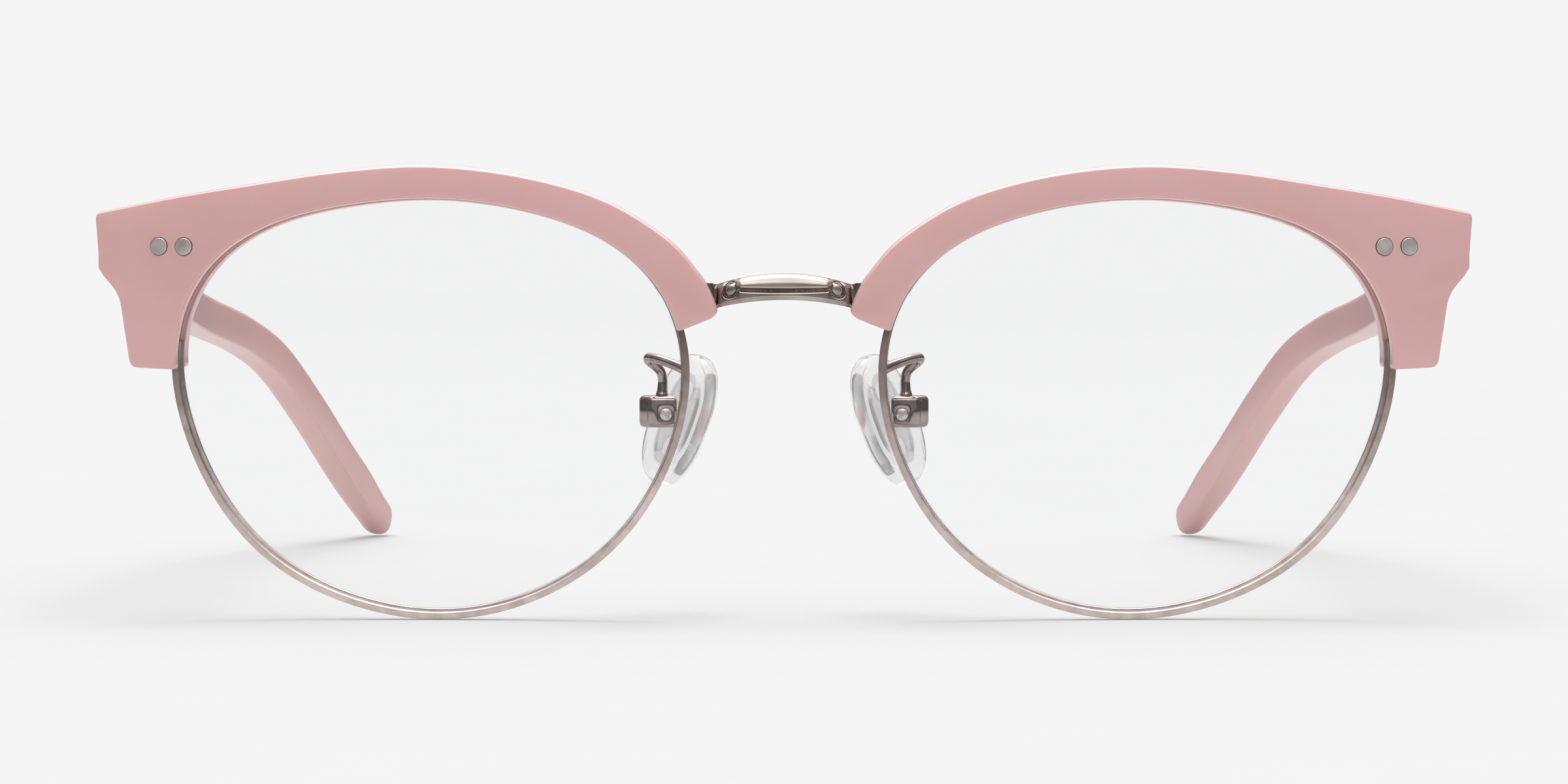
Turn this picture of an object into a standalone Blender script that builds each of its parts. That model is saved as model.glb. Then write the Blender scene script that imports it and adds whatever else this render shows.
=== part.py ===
"""Browline eyeglasses: acetate brows over half-wire rims, with folding temples and rocking nose pads.

Lengths are in millimetres and become metres when a mesh is made. -Y is the front, +Z is up, and the
glasses stand on Z = 0 with their temples open. Each half is designed with X pointing out from the
middle, and the wearer's right half is the mirror image at -X.
"""

import math

import bmesh
import bpy
from mathutils import Vector

MM = 0.001
SIDES = (("left", 1.0), ("right", -1.0))

# Where the front stands
DEPTH_CENTRE = 70.2
TILT = math.radians(3.4)
WRAP_SLOPE = 0.052
BASE_RADIUS = 170.0
LENS_U = 35.3
LENS_Z = 21.42

# Lens opening: its radius every 30 degrees, from the nose over the top and round
LENS_RADII = (24.8, 25.35, 22.1, 20.7, 22.4, 25.95, 24.7, 22.55, 21.05, 20.63, 21.35, 22.85)
STEP_ANGLE = 7.5
LENS_HALF_THICKNESS = 0.95
LENS_INSET = 0.1
LENS_BEVEL_HEIGHT = 0.4
LENS_BEVEL_HALF_WIDTH = 0.45

# Metal lower rim
RIM_WIDTH = 0.72
RIM_HALF_DEPTH = 1.0
RIM_GROOVE_DEPTH = 0.45
RIM_GROOVE_HALF_WIDTH = 0.5
RIM_NASAL_ANGLE = 30
RIM_TEMPORAL_ANGLE = 166
RIM_BEVEL = 0.15

# Acetate brow
BROW_FRONT = -2.2
BROW_BACK = 2.6
BROW_EDGE = 0.45
BROW_INNER_EDGE = 0.25
GROOVE_HALF_WIDTH = 1.1
GROOVE_DEPTH = 0.9
BROW_NASAL_ANGLE = 17.3
BROW_LEG_ANGLE = 171.2
LEG_CORNER_ANGLE = 170.6
TIP_OUTLINE = ((7.6, 8.75), (6.75, 9.7), (7.3, 11.2))
TOP_OUTLINE = (
    (7.3, 11.2),
    (8.65, 13.45),
    (11.9, 16.95),
    (18.2, 20.75),
    (26.4, 23.07),
    (35.5, 24.03),
    (44.5, 23.4),
    (54.3, 21.82),
    (61.0, 20.62),
    (68.2, 19.05),
)
WING_OUTLINE = (
    (68.8, 18.4),
    (68.35, 13.5),
    (67.1, 11.9),
    (66.3, 10.5),
    (66.0, 9.0),
    (65.5, 4.5),
    (64.8, 3.8),
)
WING_BLOCK = ((65.3, 3.4, 34.9), (68.8, 7.8, 40.0))

# Hinge
PIN_X = 63.9
PIN_Y = 7.9
PIN_RADIUS = 0.55
KNUCKLE_RADIUS = 1.25
KNUCKLE_HOLE = 0.62
KNUCKLES = ((34.9, 36.6), (36.68, 38.22), (38.3, 40.0))
PIN_BORE = (33.0, 42.0)
PIN_PROFILE = ((0.0, 0.45), (0.2, PIN_RADIUS), (5.25, PIN_RADIUS), (5.25, 0.95), (5.55, 0.95), (5.7, 0.8))
HINGE_PLATE = ((58.3, 2.8, 13.7), (62.9, 3.5, 17.8))
HINGE_ARM = ((61.9, 6.72), (63.9, 8.35))
HINGE_ARM_HEIGHT = 1.4
TEMPLE_PLATE = ((64.62, 9.15, 34.9), (65.2, 17.2, 37.7))
TEMPLE_ARM = ((63.9, 7.6), (65.16, 10.0))

# Rivets: each profile pair is a distance along the axis and a radius
FRONT_RIVETS = (62.1, 59.6)
FRONT_RIVET_W = 15.72
FRONT_RIVET_START = -2.24
FRONT_RIVET_PROFILE = ((0.0, 0.86), (0.33, 0.86), (0.33, 0.6), (5.8, 0.6), (5.8, 0.8), (6.1, 0.65))
FRONT_RIVET_HOLE_START = -3.2
FRONT_RIVET_HOLE = ((0.0, 0.95), (1.35, 0.95), (1.35, 0.68), (8.0, 0.68))
PLATE_HOLE = (2.0, 5.0, 0.68)
TEMPLE_RIVETS = (11.2, 14.8)
TEMPLE_RIVET_Z = 36.3
TEMPLE_RIVET_START = 64.2
TEMPLE_RIVET_PROFILE = ((0.0, 0.65), (0.36, 0.8), (0.36, 0.5), (4.75, 0.5), (4.75, 0.8), (5.02, 0.8))
TEMPLE_RIVET_HOLE_START = 64.5
TEMPLE_RIVET_HOLE = ((0.0, 0.58), (4.3, 0.58), (4.3, 0.9), (6.0, 0.9))
TEMPLE_PLATE_HOLE_START = 63.0
TEMPLE_PLATE_HOLE = ((0.0, 0.58), (4.0, 0.58))

# Temple: centre line, with the height and the thickness of its section
TEMPLE_PATH = (
    ((67.25, 8.0, 37.4), 5.2, 3.9),
    ((67.25, 18.0, 36.1), 5.0, 3.9),
    ((67.25, 32.0, 34.2), 4.7, 3.9),
    ((66.9, 55.0, 31.1), 4.3, 3.8),
    ((66.1, 75.0, 28.8), 4.2, 3.8),
    ((63.2, 94.0, 26.1), 4.1, 3.7),
    ((60.2, 105.0, 22.7), 4.1, 3.6),
    ((57.1, 117.0, 16.6), 4.2, 3.5),
    ((53.7, 130.0, 9.0), 4.2, 3.5),
    ((50.1, 140.6, 2.12), 4.2, 3.5),
)
TEMPLE_STEPS = 3
TEMPLE_CHAMFER = 0.8
TIP_ROUND = 2.2
CORE_RADIUS = 0.6
CORE_CHANNEL_RADIUS = 0.7
CORE_LIFT = 1.45
CORE_LIFT_LENGTH = 45.0

# Bridge
BRIDGE_FOOT = ((-1.0, -0.06), (9.4, 12.3))
BRIDGE_BODY_END = 5.7
BRIDGE_FOOT_STEP = 0.1
BRIDGE_SPOTS = (0.0, 2.0, 4.0, 5.7, 5.95, 6.2, 6.45, 6.7, 8.5, 10.3)

# Screws that close the rims, with the rims' ears and the pockets in the brows that take them
NASAL_SCREW = (9.0, 10.8)
TEMPORAL_SCREW = (61.55, 5.3)
SCREW_START = -1.7
NASAL_SCREW_PROFILE = ((0.0, 0.4), (2.72, 0.4), (2.72, 0.8), (3.1, 0.8), (3.2, 0.7))
TEMPORAL_SCREW_PROFILE = ((0.0, 0.4), (3.9, 0.4), (3.9, 0.8), (4.2, 0.8), (4.3, 0.7))
SCREW_HOLE_RADIUS = 0.52
BROW_SCREW_START = -1.8
BROW_SCREW_HOLE = ((0.0, 0.47), (3.95, 0.47), (3.95, 0.92), (6.0, 0.92))
NASAL_EAR = ((7.7, 11.05, 9.5), (7.7, 12.3, 12.1))
NASAL_EAR_DEPTHS = (0.04, 0.95)
TEMPORAL_EAR = ((60.9, -0.45, 4.4), (62.6, 0.45, 6.3))
NASAL_POCKET = ((5.0, -1.16, 6.0), (12.4, 4.0, 12.6))
TEMPORAL_POCKET = ((59.0, -0.6, 3.0), (62.9, 0.6, 6.6))

# Nose pad
PAD_CENTRE = Vector((10.6, 10.6, 19.7))
PAD_LENGTH = 13.8
PAD_WIDTH = 8.0
PAD_HALF_THICKNESS = 1.25
PAD_LEAN = Vector((-4.6, 0.0, 13.0))
PAD_SPLAY = math.radians(40.0)
PAD_AXIS_X = 11.9
PAD_AXIS_Z = 20.45
BOX = ((10.8, 5.2, 19.1), (14.6, 8.0, 22.3))
BOX_SHOULDER = 1.1
BOX_CAVITY = ((10.0, 6.0, 19.5), (13.1, 9.0, 21.4))
BOX_RECESS = ((0.0, 0.78), (1.3, 0.78), (1.3, 0.44), (2.6, 0.44))
PAD_SCREW_PROFILE = ((0.0, 0.6), (0.1, 0.68), (0.36, 0.68), (0.36, 0.36), (3.0, 0.36))
INSERT_LENGTH = 9.6
INSERT_WIDTH = 4.2
INSERT_HALF_THICKNESS = 0.35
INSERT_GAP = 0.12
LUG = ((11.1, 6.1, 19.85), (12.7, 12.0, 21.05))
LUG_BORE = ((0.0, 0.44), (3.4, 0.44))
ARM_RADIUS = 0.48
ARM_PATH = (
    (9.9, 1.98, 25.2),
    (11.3, 2.9, 25.8),
    (13.2, 3.9, 26.4),
    (14.1, 5.1, 26.4),
    (13.4, 6.2, 25.8),
    (12.6, 6.6, 24.4),
    (12.4, 6.6, 22.4),
)

# Colour, metallic and roughness of each material
MATERIALS = {
    "acetate": ((0.66, 0.39, 0.37), 0.0, 0.22),
    "metal": ((0.46, 0.41, 0.39), 1.0, 0.32),
    "steel": ((0.55, 0.53, 0.51), 1.0, 0.35),
    "lens": ((0.93, 0.95, 0.96), 0.0, 0.03),
    "silicone": ((0.9, 0.9, 0.9), 0.0, 0.15),
    "insert": ((0.82, 0.82, 0.82), 0.0, 0.3),
}


def clear_scene():
    for old in list(bpy.data.objects):
        bpy.data.objects.remove(old, do_unlink=True)


def finish_material(name):
    made = bpy.data.materials.get(name)
    if made:
        return made
    colour, metallic, roughness = MATERIALS[name]
    made = bpy.data.materials.new(name)
    made.use_nodes = True
    shader = made.node_tree.nodes["Principled BSDF"]
    shader.inputs["Base Color"].default_value = (*colour, 1.0)
    shader.inputs["Metallic"].default_value = metallic
    shader.inputs["Roughness"].default_value = roughness
    return made


# Mesh helpers


def make_object(name, mesh_data, material, origin=(0, 0, 0)):
    """An object from a bmesh in millimetres, with its origin at a point in millimetres."""
    bmesh.ops.recalc_face_normals(mesh_data, faces=mesh_data.faces)
    shift = Vector(origin)
    for vert in mesh_data.verts:
        vert.co = (vert.co - shift) * MM
    mesh = bpy.data.meshes.new(name)
    mesh_data.to_mesh(mesh)
    mesh_data.free()
    made = bpy.data.objects.new(name, mesh)
    made.location = (shift - Vector((0, DEPTH_CENTRE, 0))) * MM
    bpy.context.scene.collection.objects.link(made)
    if material is None:
        made.hide_render = True
        made.display_type = "WIRE"
        return made
    mesh.materials.append(finish_material(material))
    mesh.shade_smooth()
    mesh.set_sharp_from_angle(angle=math.radians(35))
    return made


def loft(rings):
    """A bmesh skinned over rings with the same number of points, capped at both ends."""
    made = bmesh.new()
    loops = [[made.verts.new(point) for point in ring] for ring in rings]
    for first, second in zip(loops, loops[1:]):
        count = len(first)
        for i in range(count):
            j = (i + 1) % count
            made.faces.new((first[i], first[j], second[j], second[i]))
    made.faces.new(loops[0])
    made.faces.new(loops[-1])
    return made


def mirrored(points, sign):
    return [Vector((sign * p[0], p[1], p[2])) for p in points]


def ear_rings(rows, depths):
    """A flat ear on the front: rows of (u from, u to, w) between two depths."""
    front, back = depths
    rings = []
    for u_from, u_to, w in rows:
        corners = ((u_from, front), (u_to, front), (u_to, back), (u_from, back))
        rings.append([front_point((u, v, w)) for u, v in corners])
    return rings


def box_rings(low, high, place=Vector):
    corners = ((low[0], low[1]), (high[0], low[1]), (high[0], high[1]), (low[0], high[1]))
    return [[place((x, y, z)) for x, y in corners] for z in (low[2], high[2])]


def circle(centre, first, second, radius, count):
    angles = [2 * math.pi * i / count for i in range(count)]
    return [centre + first * (radius * math.cos(a)) + second * (radius * math.sin(a)) for a in angles]


def turned(start, axis, profile, count=12):
    """Rings of a turned piece: each profile pair is a distance along the axis and a radius."""
    axis = axis.normalized()
    first = axis.orthogonal().normalized()
    second = axis.cross(first)
    return [circle(start + axis * along, first, second, radius, count) for along, radius in profile]


def spline(points, steps):
    """A smooth curve through all the points, as tuples of numbers."""
    ends = [points[0], *points, points[-1]]
    made = []
    for i in range(1, len(ends) - 2):
        a, b, c, d = ends[i - 1 : i + 3]
        for step in range(steps):
            t = step / steps
            row = []
            for p, q, r, s in zip(a, b, c, d):
                square = 2 * p - 5 * q + 4 * r - s
                cube = 3 * q - p - 3 * r + s
                row.append(0.5 * (2 * q + (r - p) * t + square * t * t + cube * t**3))
            made.append(tuple(row))
    made.append(tuple(points[-1]))
    return made


def combine(target, other, operation):
    change = target.modifiers.new(operation.lower(), "BOOLEAN")
    change.operation = operation
    change.object = other
    change.solver = "EXACT"


def cut(target, rings, sign):
    cutter = loft([mirrored(ring, sign) for ring in rings])
    combine(target, make_object(target.name + "_cutter", cutter, None), "DIFFERENCE")


def add(target, rings, sign):
    extra = loft([mirrored(ring, sign) for ring in rings])
    combine(target, make_object(target.name + "_extra", extra, None), "UNION")


def piece(name, rings, sign, material, origin=(0, 0, 0)):
    made = loft([mirrored(ring, sign) for ring in rings])
    return make_object(name, made, material, (sign * origin[0], origin[1], origin[2]))


# The curved and tilted front


def front_point(flat):
    """Place a point of the flat half front: u out from the middle, v back, w up from lens centre."""
    u, v, w = flat
    out = u - LENS_U
    drop = math.sqrt(BASE_RADIUS**2 - out**2 - w**2)
    normal = Vector((-out / drop - WRAP_SLOPE, 1.0, -w / drop)).normalized()
    curved = Vector((u, BASE_RADIUS - drop + WRAP_SLOPE * out, w)) + normal * v
    y = curved.y * math.cos(TILT) - curved.z * math.sin(TILT)
    z = curved.z * math.cos(TILT) + curved.y * math.sin(TILT)
    return Vector((curved.x, y, LENS_Z + z))


def front_axis(u, w):
    """The direction straight back through the front at a point."""
    return (front_point((u, 1.0, w)) - front_point((u, 0.0, w))).normalized()


def lens_radius(degrees):
    """The opening's radius, by trigonometric interpolation of its driving radii."""
    count = len(LENS_RADII)
    angle = math.radians(degrees)
    total = 0.0
    for index, radius in enumerate(LENS_RADII):
        gap = angle - 2 * math.pi * index / count
        waves = sum(math.cos(order * gap) for order in range(1, count // 2))
        total += radius * (1 + 2 * waves + math.cos(count // 2 * gap)) / count
    return total


def polar(degrees, radius):
    angle = math.radians(degrees)
    return LENS_U - radius * math.cos(angle), radius * math.sin(angle)


def ring_angles(end):
    return [STEP_ANGLE * index for index in range(round(end / STEP_ANGLE))]


def rim_station(degrees, section):
    """One ring of a section swept along the opening: pairs of outward offset and depth."""
    ring = []
    for offset, depth in section:
        u, w = polar(degrees, lens_radius(degrees) + offset)
        ring.append(front_point((u, depth, w)))
    return ring


def build_eyewire(side, sign):
    depth, groove = RIM_HALF_DEPTH, RIM_GROOVE_HALF_WIDTH
    section = (
        (0.0, -depth + RIM_BEVEL),
        (RIM_BEVEL, -depth),
        (RIM_WIDTH, -depth),
        (RIM_WIDTH, depth),
        (RIM_BEVEL, depth),
        (0.0, depth - RIM_BEVEL),
        (0.0, groove),
        (RIM_GROOVE_DEPTH, groove * 0.8),
        (RIM_GROOVE_DEPTH, -groove * 0.8),
        (0.0, -groove),
    )
    first = RIM_TEMPORAL_ANGLE
    last = 360 + RIM_NASAL_ANGLE
    between = [angle for angle in ring_angles(720) if first < angle < last]
    rings = [rim_station(angle, section) for angle in (first, *between, last)]
    made = piece(f"eyewire_{side}", rings, sign, "metal")
    add(made, ear_rings(NASAL_EAR, NASAL_EAR_DEPTHS), sign)
    add(made, box_rings(*TEMPORAL_EAR, front_point), sign)
    for spot in (NASAL_SCREW, TEMPORAL_SCREW):
        cut(made, screw_hole(spot, -1.7, 1.9, SCREW_HOLE_RADIUS), sign)


def screw_hole(spot, front, back, radius):
    u, w = spot
    return turned(front_point((u, front, w)), front_axis(u, w), ((0.0, radius), (back - front, radius)))


def build_lens(side, sign):
    edge, half = -LENS_INSET, LENS_HALF_THICKNESS
    bevel = LENS_BEVEL_HALF_WIDTH
    angles = ring_angles(360)
    levels = [
        (edge, -half),
        (edge, -bevel),
        (edge + LENS_BEVEL_HEIGHT, 0.0),
        (edge, bevel),
        (edge, half),
    ]
    rings = []
    rings.append([front_point(scaled(angle, 0.5, -half)) for angle in angles])
    for level in levels:
        rings.append([rim_station(angle, (level,))[0] for angle in angles])
    rings.append([front_point(scaled(angle, 0.5, half)) for angle in angles])
    shell = loft([mirrored(ring, sign) for ring in rings])
    for face in [face for face in shell.faces if len(face.verts) > 4]:
        bmesh.ops.poke(shell, faces=[face])
    centres = [vert for vert in shell.verts if len(vert.link_edges) > 8]
    for vert, depth in zip(sorted(centres, key=lambda v: v.co.y), (-half, half)):
        place = front_point((LENS_U, depth, 0.0))
        vert.co = Vector((sign * place.x, place.y, place.z))
    make_object(f"lens_{side}", shell, "lens")


def scaled(angle, share, depth):
    u, w = polar(angle, share * (lens_radius(angle) - LENS_INSET))
    return u, depth, w


def brow_pairs():
    """Inner and outer outline points of the brow, from its nasal end round to the end of its leg."""
    pairs = []
    for u, w in TIP_OUTLINE[:-1]:
        angle = max(ray_angle(u, w), BROW_NASAL_ANGLE)
        pairs.append((angle, (u, w)))
    pairs[0] = (BROW_NASAL_ANGLE, pairs[0][1])
    for u, w in spline(TOP_OUTLINE, 2):
        pairs.append((ray_angle(u, w), (u, w)))
    for u, w in WING_OUTLINE:
        pairs.append((min(ray_angle(u, w), BROW_LEG_ANGLE), (u, w)))
    pairs[-1] = (BROW_LEG_ANGLE, pairs[-1][1])
    pairs[-2] = (LEG_CORNER_ANGLE, pairs[-2][1])
    return [(polar(angle, lens_radius(angle)), outer) for angle, outer in pairs]


def ray_angle(u, w):
    return math.degrees(math.atan2(w, LENS_U - u))


def build_brow(side, sign):
    front, back, edge, inner_edge = BROW_FRONT, BROW_BACK, BROW_EDGE, BROW_INNER_EDGE
    rings = []
    for inner, outer in brow_pairs():
        reach = math.hypot(outer[0] - inner[0], outer[1] - inner[1])
        section = (
            (inner_edge, front),
            (reach - edge, front),
            (reach, front + edge),
            (reach, back - edge),
            (reach - edge, back),
            (inner_edge, back),
            (0.0, back - inner_edge),
            (0.0, GROOVE_HALF_WIDTH),
            (GROOVE_DEPTH, GROOVE_HALF_WIDTH),
            (GROOVE_DEPTH, -GROOVE_HALF_WIDTH),
            (0.0, -GROOVE_HALF_WIDTH),
            (0.0, front + inner_edge),
        )
        ring = []
        for along, depth in section:
            share = along / reach
            u = inner[0] + (outer[0] - inner[0]) * share
            w = inner[1] + (outer[1] - inner[1]) * share
            ring.append(front_point((u, depth, w)))
        rings.append(ring)
    made = piece(f"brow_{side}", rings, sign, "acetate")
    add(made, box_rings(*WING_BLOCK), sign)
    for pocket in (NASAL_POCKET, TEMPORAL_POCKET):
        cut(made, box_rings(*pocket, front_point), sign)
    cut(made, screw_hole(NASAL_SCREW, BROW_SCREW_START, -0.5, SCREW_HOLE_RADIUS), sign)
    u, w = TEMPORAL_SCREW
    start = front_point((u, BROW_SCREW_START, w))
    cut(made, turned(start, front_axis(u, w), BROW_SCREW_HOLE), sign)
    for u in FRONT_RIVETS:
        start = front_point((u, FRONT_RIVET_HOLE_START, FRONT_RIVET_W))
        cut(made, turned(start, front_axis(u, FRONT_RIVET_W), FRONT_RIVET_HOLE, 14), sign)


def build_rim_screws(side, sign):
    kinds = (
        ("nasal", NASAL_SCREW, NASAL_SCREW_PROFILE),
        ("temporal", TEMPORAL_SCREW, TEMPORAL_SCREW_PROFILE),
    )
    for place, (u, w), profile in kinds:
        rings = turned(front_point((u, SCREW_START, w)), front_axis(u, w), profile)
        piece(f"rim_screw_{place}_{side}", rings, sign, "steel")


def bridge_ring(u):
    """The bridge's section at a distance from the middle: a saddle that thins to flat feet."""
    distance = abs(u)
    share = min(max((distance - BRIDGE_BODY_END) / 1.0, 0.0), 1.0)
    share = share * share * (3 - 2 * share)
    curve = (distance / 7.0) ** 2
    body = (
        (-1.25 + 0.55 * curve, 34.5 - 1.15 * curve),
        (-1.25 + 0.55 * curve, 32.4 - 0.85 * curve),
        (-0.95 + 0.55 * curve, 32.1 - 0.85 * curve),
        (0.75, 32.1 - 0.85 * curve),
        (0.75, 34.75 - 1.2 * curve),
        (-0.95 + 0.55 * curve, 34.75 - 1.2 * curve),
    )
    (front, back), (low, high) = BRIDGE_FOOT
    step = BRIDGE_FOOT_STEP
    foot = (
        (front, high),
        (front, low + step),
        (front + step, low),
        (back, low),
        (back, high + step),
        (front + step, high + step),
    )
    ring = []
    for (y, z), (v, w) in zip(body, foot):
        place = front_point((distance, v, w))
        mixed = Vector((distance, y, z)).lerp(place, share)
        ring.append(Vector((math.copysign(mixed.x, u), mixed.y, mixed.z)))
    return ring


def build_bridge():
    stations = [-u for u in reversed(BRIDGE_SPOTS[1:])] + list(BRIDGE_SPOTS)
    made = piece("bridge", [bridge_ring(u) for u in stations], 1.0, "metal")
    for _, sign in SIDES:
        cut(made, screw_hole(NASAL_SCREW, -1.6, 0.8, SCREW_HOLE_RADIUS), sign)


# Hinges and rivets


def tube_rings(radius, low, high):
    profile = ((0.0, radius), (high - low, radius))
    return turned(Vector((PIN_X, PIN_Y, low)), Vector((0, 0, 1)), profile, 14)


def flat_box(corners, low, high):
    (left, near), (right, far) = corners
    return box_rings((left, near, low), (right, far, high))


def build_hinge(side, sign):
    pin = (PIN_X, PIN_Y, KNUCKLES[0][0])
    leaf = piece(f"hinge_front_{side}", box_rings(*HINGE_PLATE, front_point), sign, "metal")
    for low, high in (KNUCKLES[0], KNUCKLES[2]):
        add(leaf, flat_box(HINGE_ARM, low, low + HINGE_ARM_HEIGHT), sign)
        add(leaf, tube_rings(KNUCKLE_RADIUS, low, high), sign)
    cut(leaf, tube_rings(KNUCKLE_HOLE, *PIN_BORE), sign)
    for u in FRONT_RIVETS:
        cut(leaf, screw_hole((u, FRONT_RIVET_W), *PLATE_HOLE), sign)

    other = piece(f"hinge_temple_{side}", box_rings(*TEMPLE_PLATE), sign, "metal", origin=pin)
    low, high = KNUCKLES[1]
    add(other, tube_rings(KNUCKLE_RADIUS, low, high), sign)
    add(other, flat_box(TEMPLE_ARM, low, high), sign)
    cut(other, tube_rings(KNUCKLE_HOLE, *PIN_BORE), sign)
    for y in TEMPLE_RIVETS:
        start = Vector((TEMPLE_PLATE_HOLE_START, y, TEMPLE_RIVET_Z))
        cut(other, turned(start, Vector((1, 0, 0)), TEMPLE_PLATE_HOLE), sign)

    rings = turned(Vector((PIN_X, PIN_Y, 34.8)), Vector((0, 0, 1)), PIN_PROFILE)
    piece(f"hinge_screw_{side}", rings, sign, "steel")


def build_rivets(side, sign):
    for place, u in zip(("outer", "inner"), FRONT_RIVETS):
        start = front_point((u, FRONT_RIVET_START, FRONT_RIVET_W))
        rings = turned(start, front_axis(u, FRONT_RIVET_W), FRONT_RIVET_PROFILE, 14)
        piece(f"rivet_{place}_{side}", rings, sign, "steel")
    pin = (PIN_X, PIN_Y, TEMPLE_RIVET_Z)
    for place, y in zip(("front", "rear"), TEMPLE_RIVETS):
        start = Vector((TEMPLE_RIVET_START, y, TEMPLE_RIVET_Z))
        rings = turned(start, Vector((1, 0, 0)), TEMPLE_RIVET_PROFILE)
        piece(f"temple_rivet_{place}_{side}", rings, sign, "steel", origin=pin)


# Temple


def temple_stations():
    """Centre, side direction, up direction, height and thickness along the temple."""
    rows = [(*centre, height, thickness) for centre, height, thickness in TEMPLE_PATH]
    rows = spline(rows, TEMPLE_STEPS)
    stations = []
    for index, row in enumerate(rows):
        ahead = Vector(rows[min(index + 1, len(rows) - 1)][:3])
        behind = Vector(rows[max(index - 1, 0)][:3])
        along = (ahead - behind).normalized()
        if index == 0:
            along = Vector((0, 1, 0))
        across = along.cross(Vector((0, 0, 1))).normalized()
        stations.append((Vector(row[:3]), across, across.cross(along), row[3], row[4], along))
    return stations


def temple_section(station, size):
    centre, across, up, height, thickness, _ = station
    high, wide = size * height / 2, size * thickness / 2
    chamfer = min(TEMPLE_CHAMFER * size, high, wide)
    corners = (
        (wide, high - chamfer),
        (wide - chamfer, high),
        (-wide + chamfer, high),
        (-wide, high - chamfer),
        (-wide, -high + chamfer),
        (-wide + chamfer, -high),
        (wide - chamfer, -high),
        (wide, -high + chamfer),
    )
    return [centre + across * a + up * b for a, b in corners]


def tip_stations(last):
    """Round the end of the temple off beyond its last station."""
    centre, across, up, height, thickness, along = last
    rounded = []
    for share in (0.4, 0.7, 0.9, 0.98):
        moved = centre + along * (TIP_ROUND * share)
        rounded.append(((moved, across, up, height, thickness, along), math.sqrt(1 - share**2)))
    return rounded


def core_centres():
    centres = []
    for centre, _, up, _, _, _ in temple_stations()[:-2]:
        fade = max(0.0, 1 - (centre.y - TEMPLE_PATH[0][0][1]) / CORE_LIFT_LENGTH)
        centres.append(centre + up * (CORE_LIFT * fade))
    return centres


def core_rings(centres, radius):
    rings = []
    for index, centre in enumerate(centres):
        ahead = centres[min(index + 1, len(centres) - 1)]
        along = (ahead - centres[max(index - 1, 0)]).normalized()
        across = along.cross(Vector((0, 0, 1))).normalized()
        rings.append(circle(centre, across, across.cross(along), radius, 6))
    return rings


def build_temple(side, sign):
    pin = (PIN_X, PIN_Y, TEMPLE_PATH[0][0][2])
    stations = temple_stations()
    rings = [temple_section(station, 1.0) for station in stations]
    rings += [temple_section(station, size) for station, size in tip_stations(stations[-1])]
    made = piece(f"temple_{side}", rings, sign, "acetate", origin=pin)
    centres = core_centres()
    front_end = centres[0] - Vector((0, 1.5, 0))
    back_end = centres[-1] + (centres[-1] - centres[-2]) * 0.1
    cut(made, core_rings([front_end, *centres, back_end], CORE_CHANNEL_RADIUS), sign)
    for y in TEMPLE_RIVETS:
        start = Vector((TEMPLE_RIVET_HOLE_START, y, TEMPLE_RIVET_Z))
        cut(made, turned(start, Vector((1, 0, 0)), TEMPLE_RIVET_HOLE), sign)
    piece(f"temple_core_{side}", core_rings(centres, CORE_RADIUS), sign, "steel", origin=pin)


# Nose pads


def build_pad_arm(side, sign):
    centres = [Vector(point) for point in spline(ARM_PATH, 4)]
    rings = []
    first = (centres[1] - centres[0]).orthogonal().normalized()
    for index, centre in enumerate(centres):
        ahead = centres[min(index + 1, len(centres) - 1)]
        along = (ahead - centres[max(index - 1, 0)]).normalized()
        first = (first - along * first.dot(along)).normalized()
        rings.append(circle(centre, first, along.cross(first), ARM_RADIUS, 8))
    piece(f"pad_arm_{side}", rings, sign, "metal")


def build_pad_box(side, sign):
    (x0, y0, z0), (x1, y1, z1) = BOX
    outline = ((x0, y0), (x1 - BOX_SHOULDER, y0), (x1, y0 + BOX_SHOULDER), (x1, y1), (x0, y1))
    rings = [[Vector((x, y, z)) for x, y in outline] for z in (z0, z1)]
    made = piece(f"pad_box_{side}", rings, sign, "metal")
    cut(made, box_rings(*BOX_CAVITY), sign)
    start = Vector((PAD_AXIS_X, y0 - 1.0, PAD_AXIS_Z))
    cut(made, turned(start, Vector((0, 1, 0)), BOX_RECESS), sign)
    start = Vector((PAD_AXIS_X, y0 - 0.1, PAD_AXIS_Z))
    piece(f"pad_screw_{side}", turned(start, Vector((0, 1, 0)), PAD_SCREW_PROFILE), sign, "steel")


def pad_axes():
    long_way = PAD_LEAN.normalized()
    wide_way = Vector((math.sin(PAD_SPLAY), math.cos(PAD_SPLAY), 0.0))
    wide_way = (wide_way - long_way * wide_way.dot(long_way)).normalized()
    return long_way, wide_way, long_way.cross(wide_way)


def pad_outline(length, width, depth, count=24):
    """A rounded oblong across the pad, at a depth through it."""
    long_way, wide_way, thick_way = pad_axes()
    ring = []
    for index in range(count):
        angle = 2 * math.pi * index / count
        along = length / 2 * math.copysign(abs(math.cos(angle)) ** 0.85, math.cos(angle))
        across = width / 2 * math.copysign(abs(math.sin(angle)) ** 0.8, math.sin(angle))
        ring.append(PAD_CENTRE + long_way * along + wide_way * across + thick_way * depth)
    return ring


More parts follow.
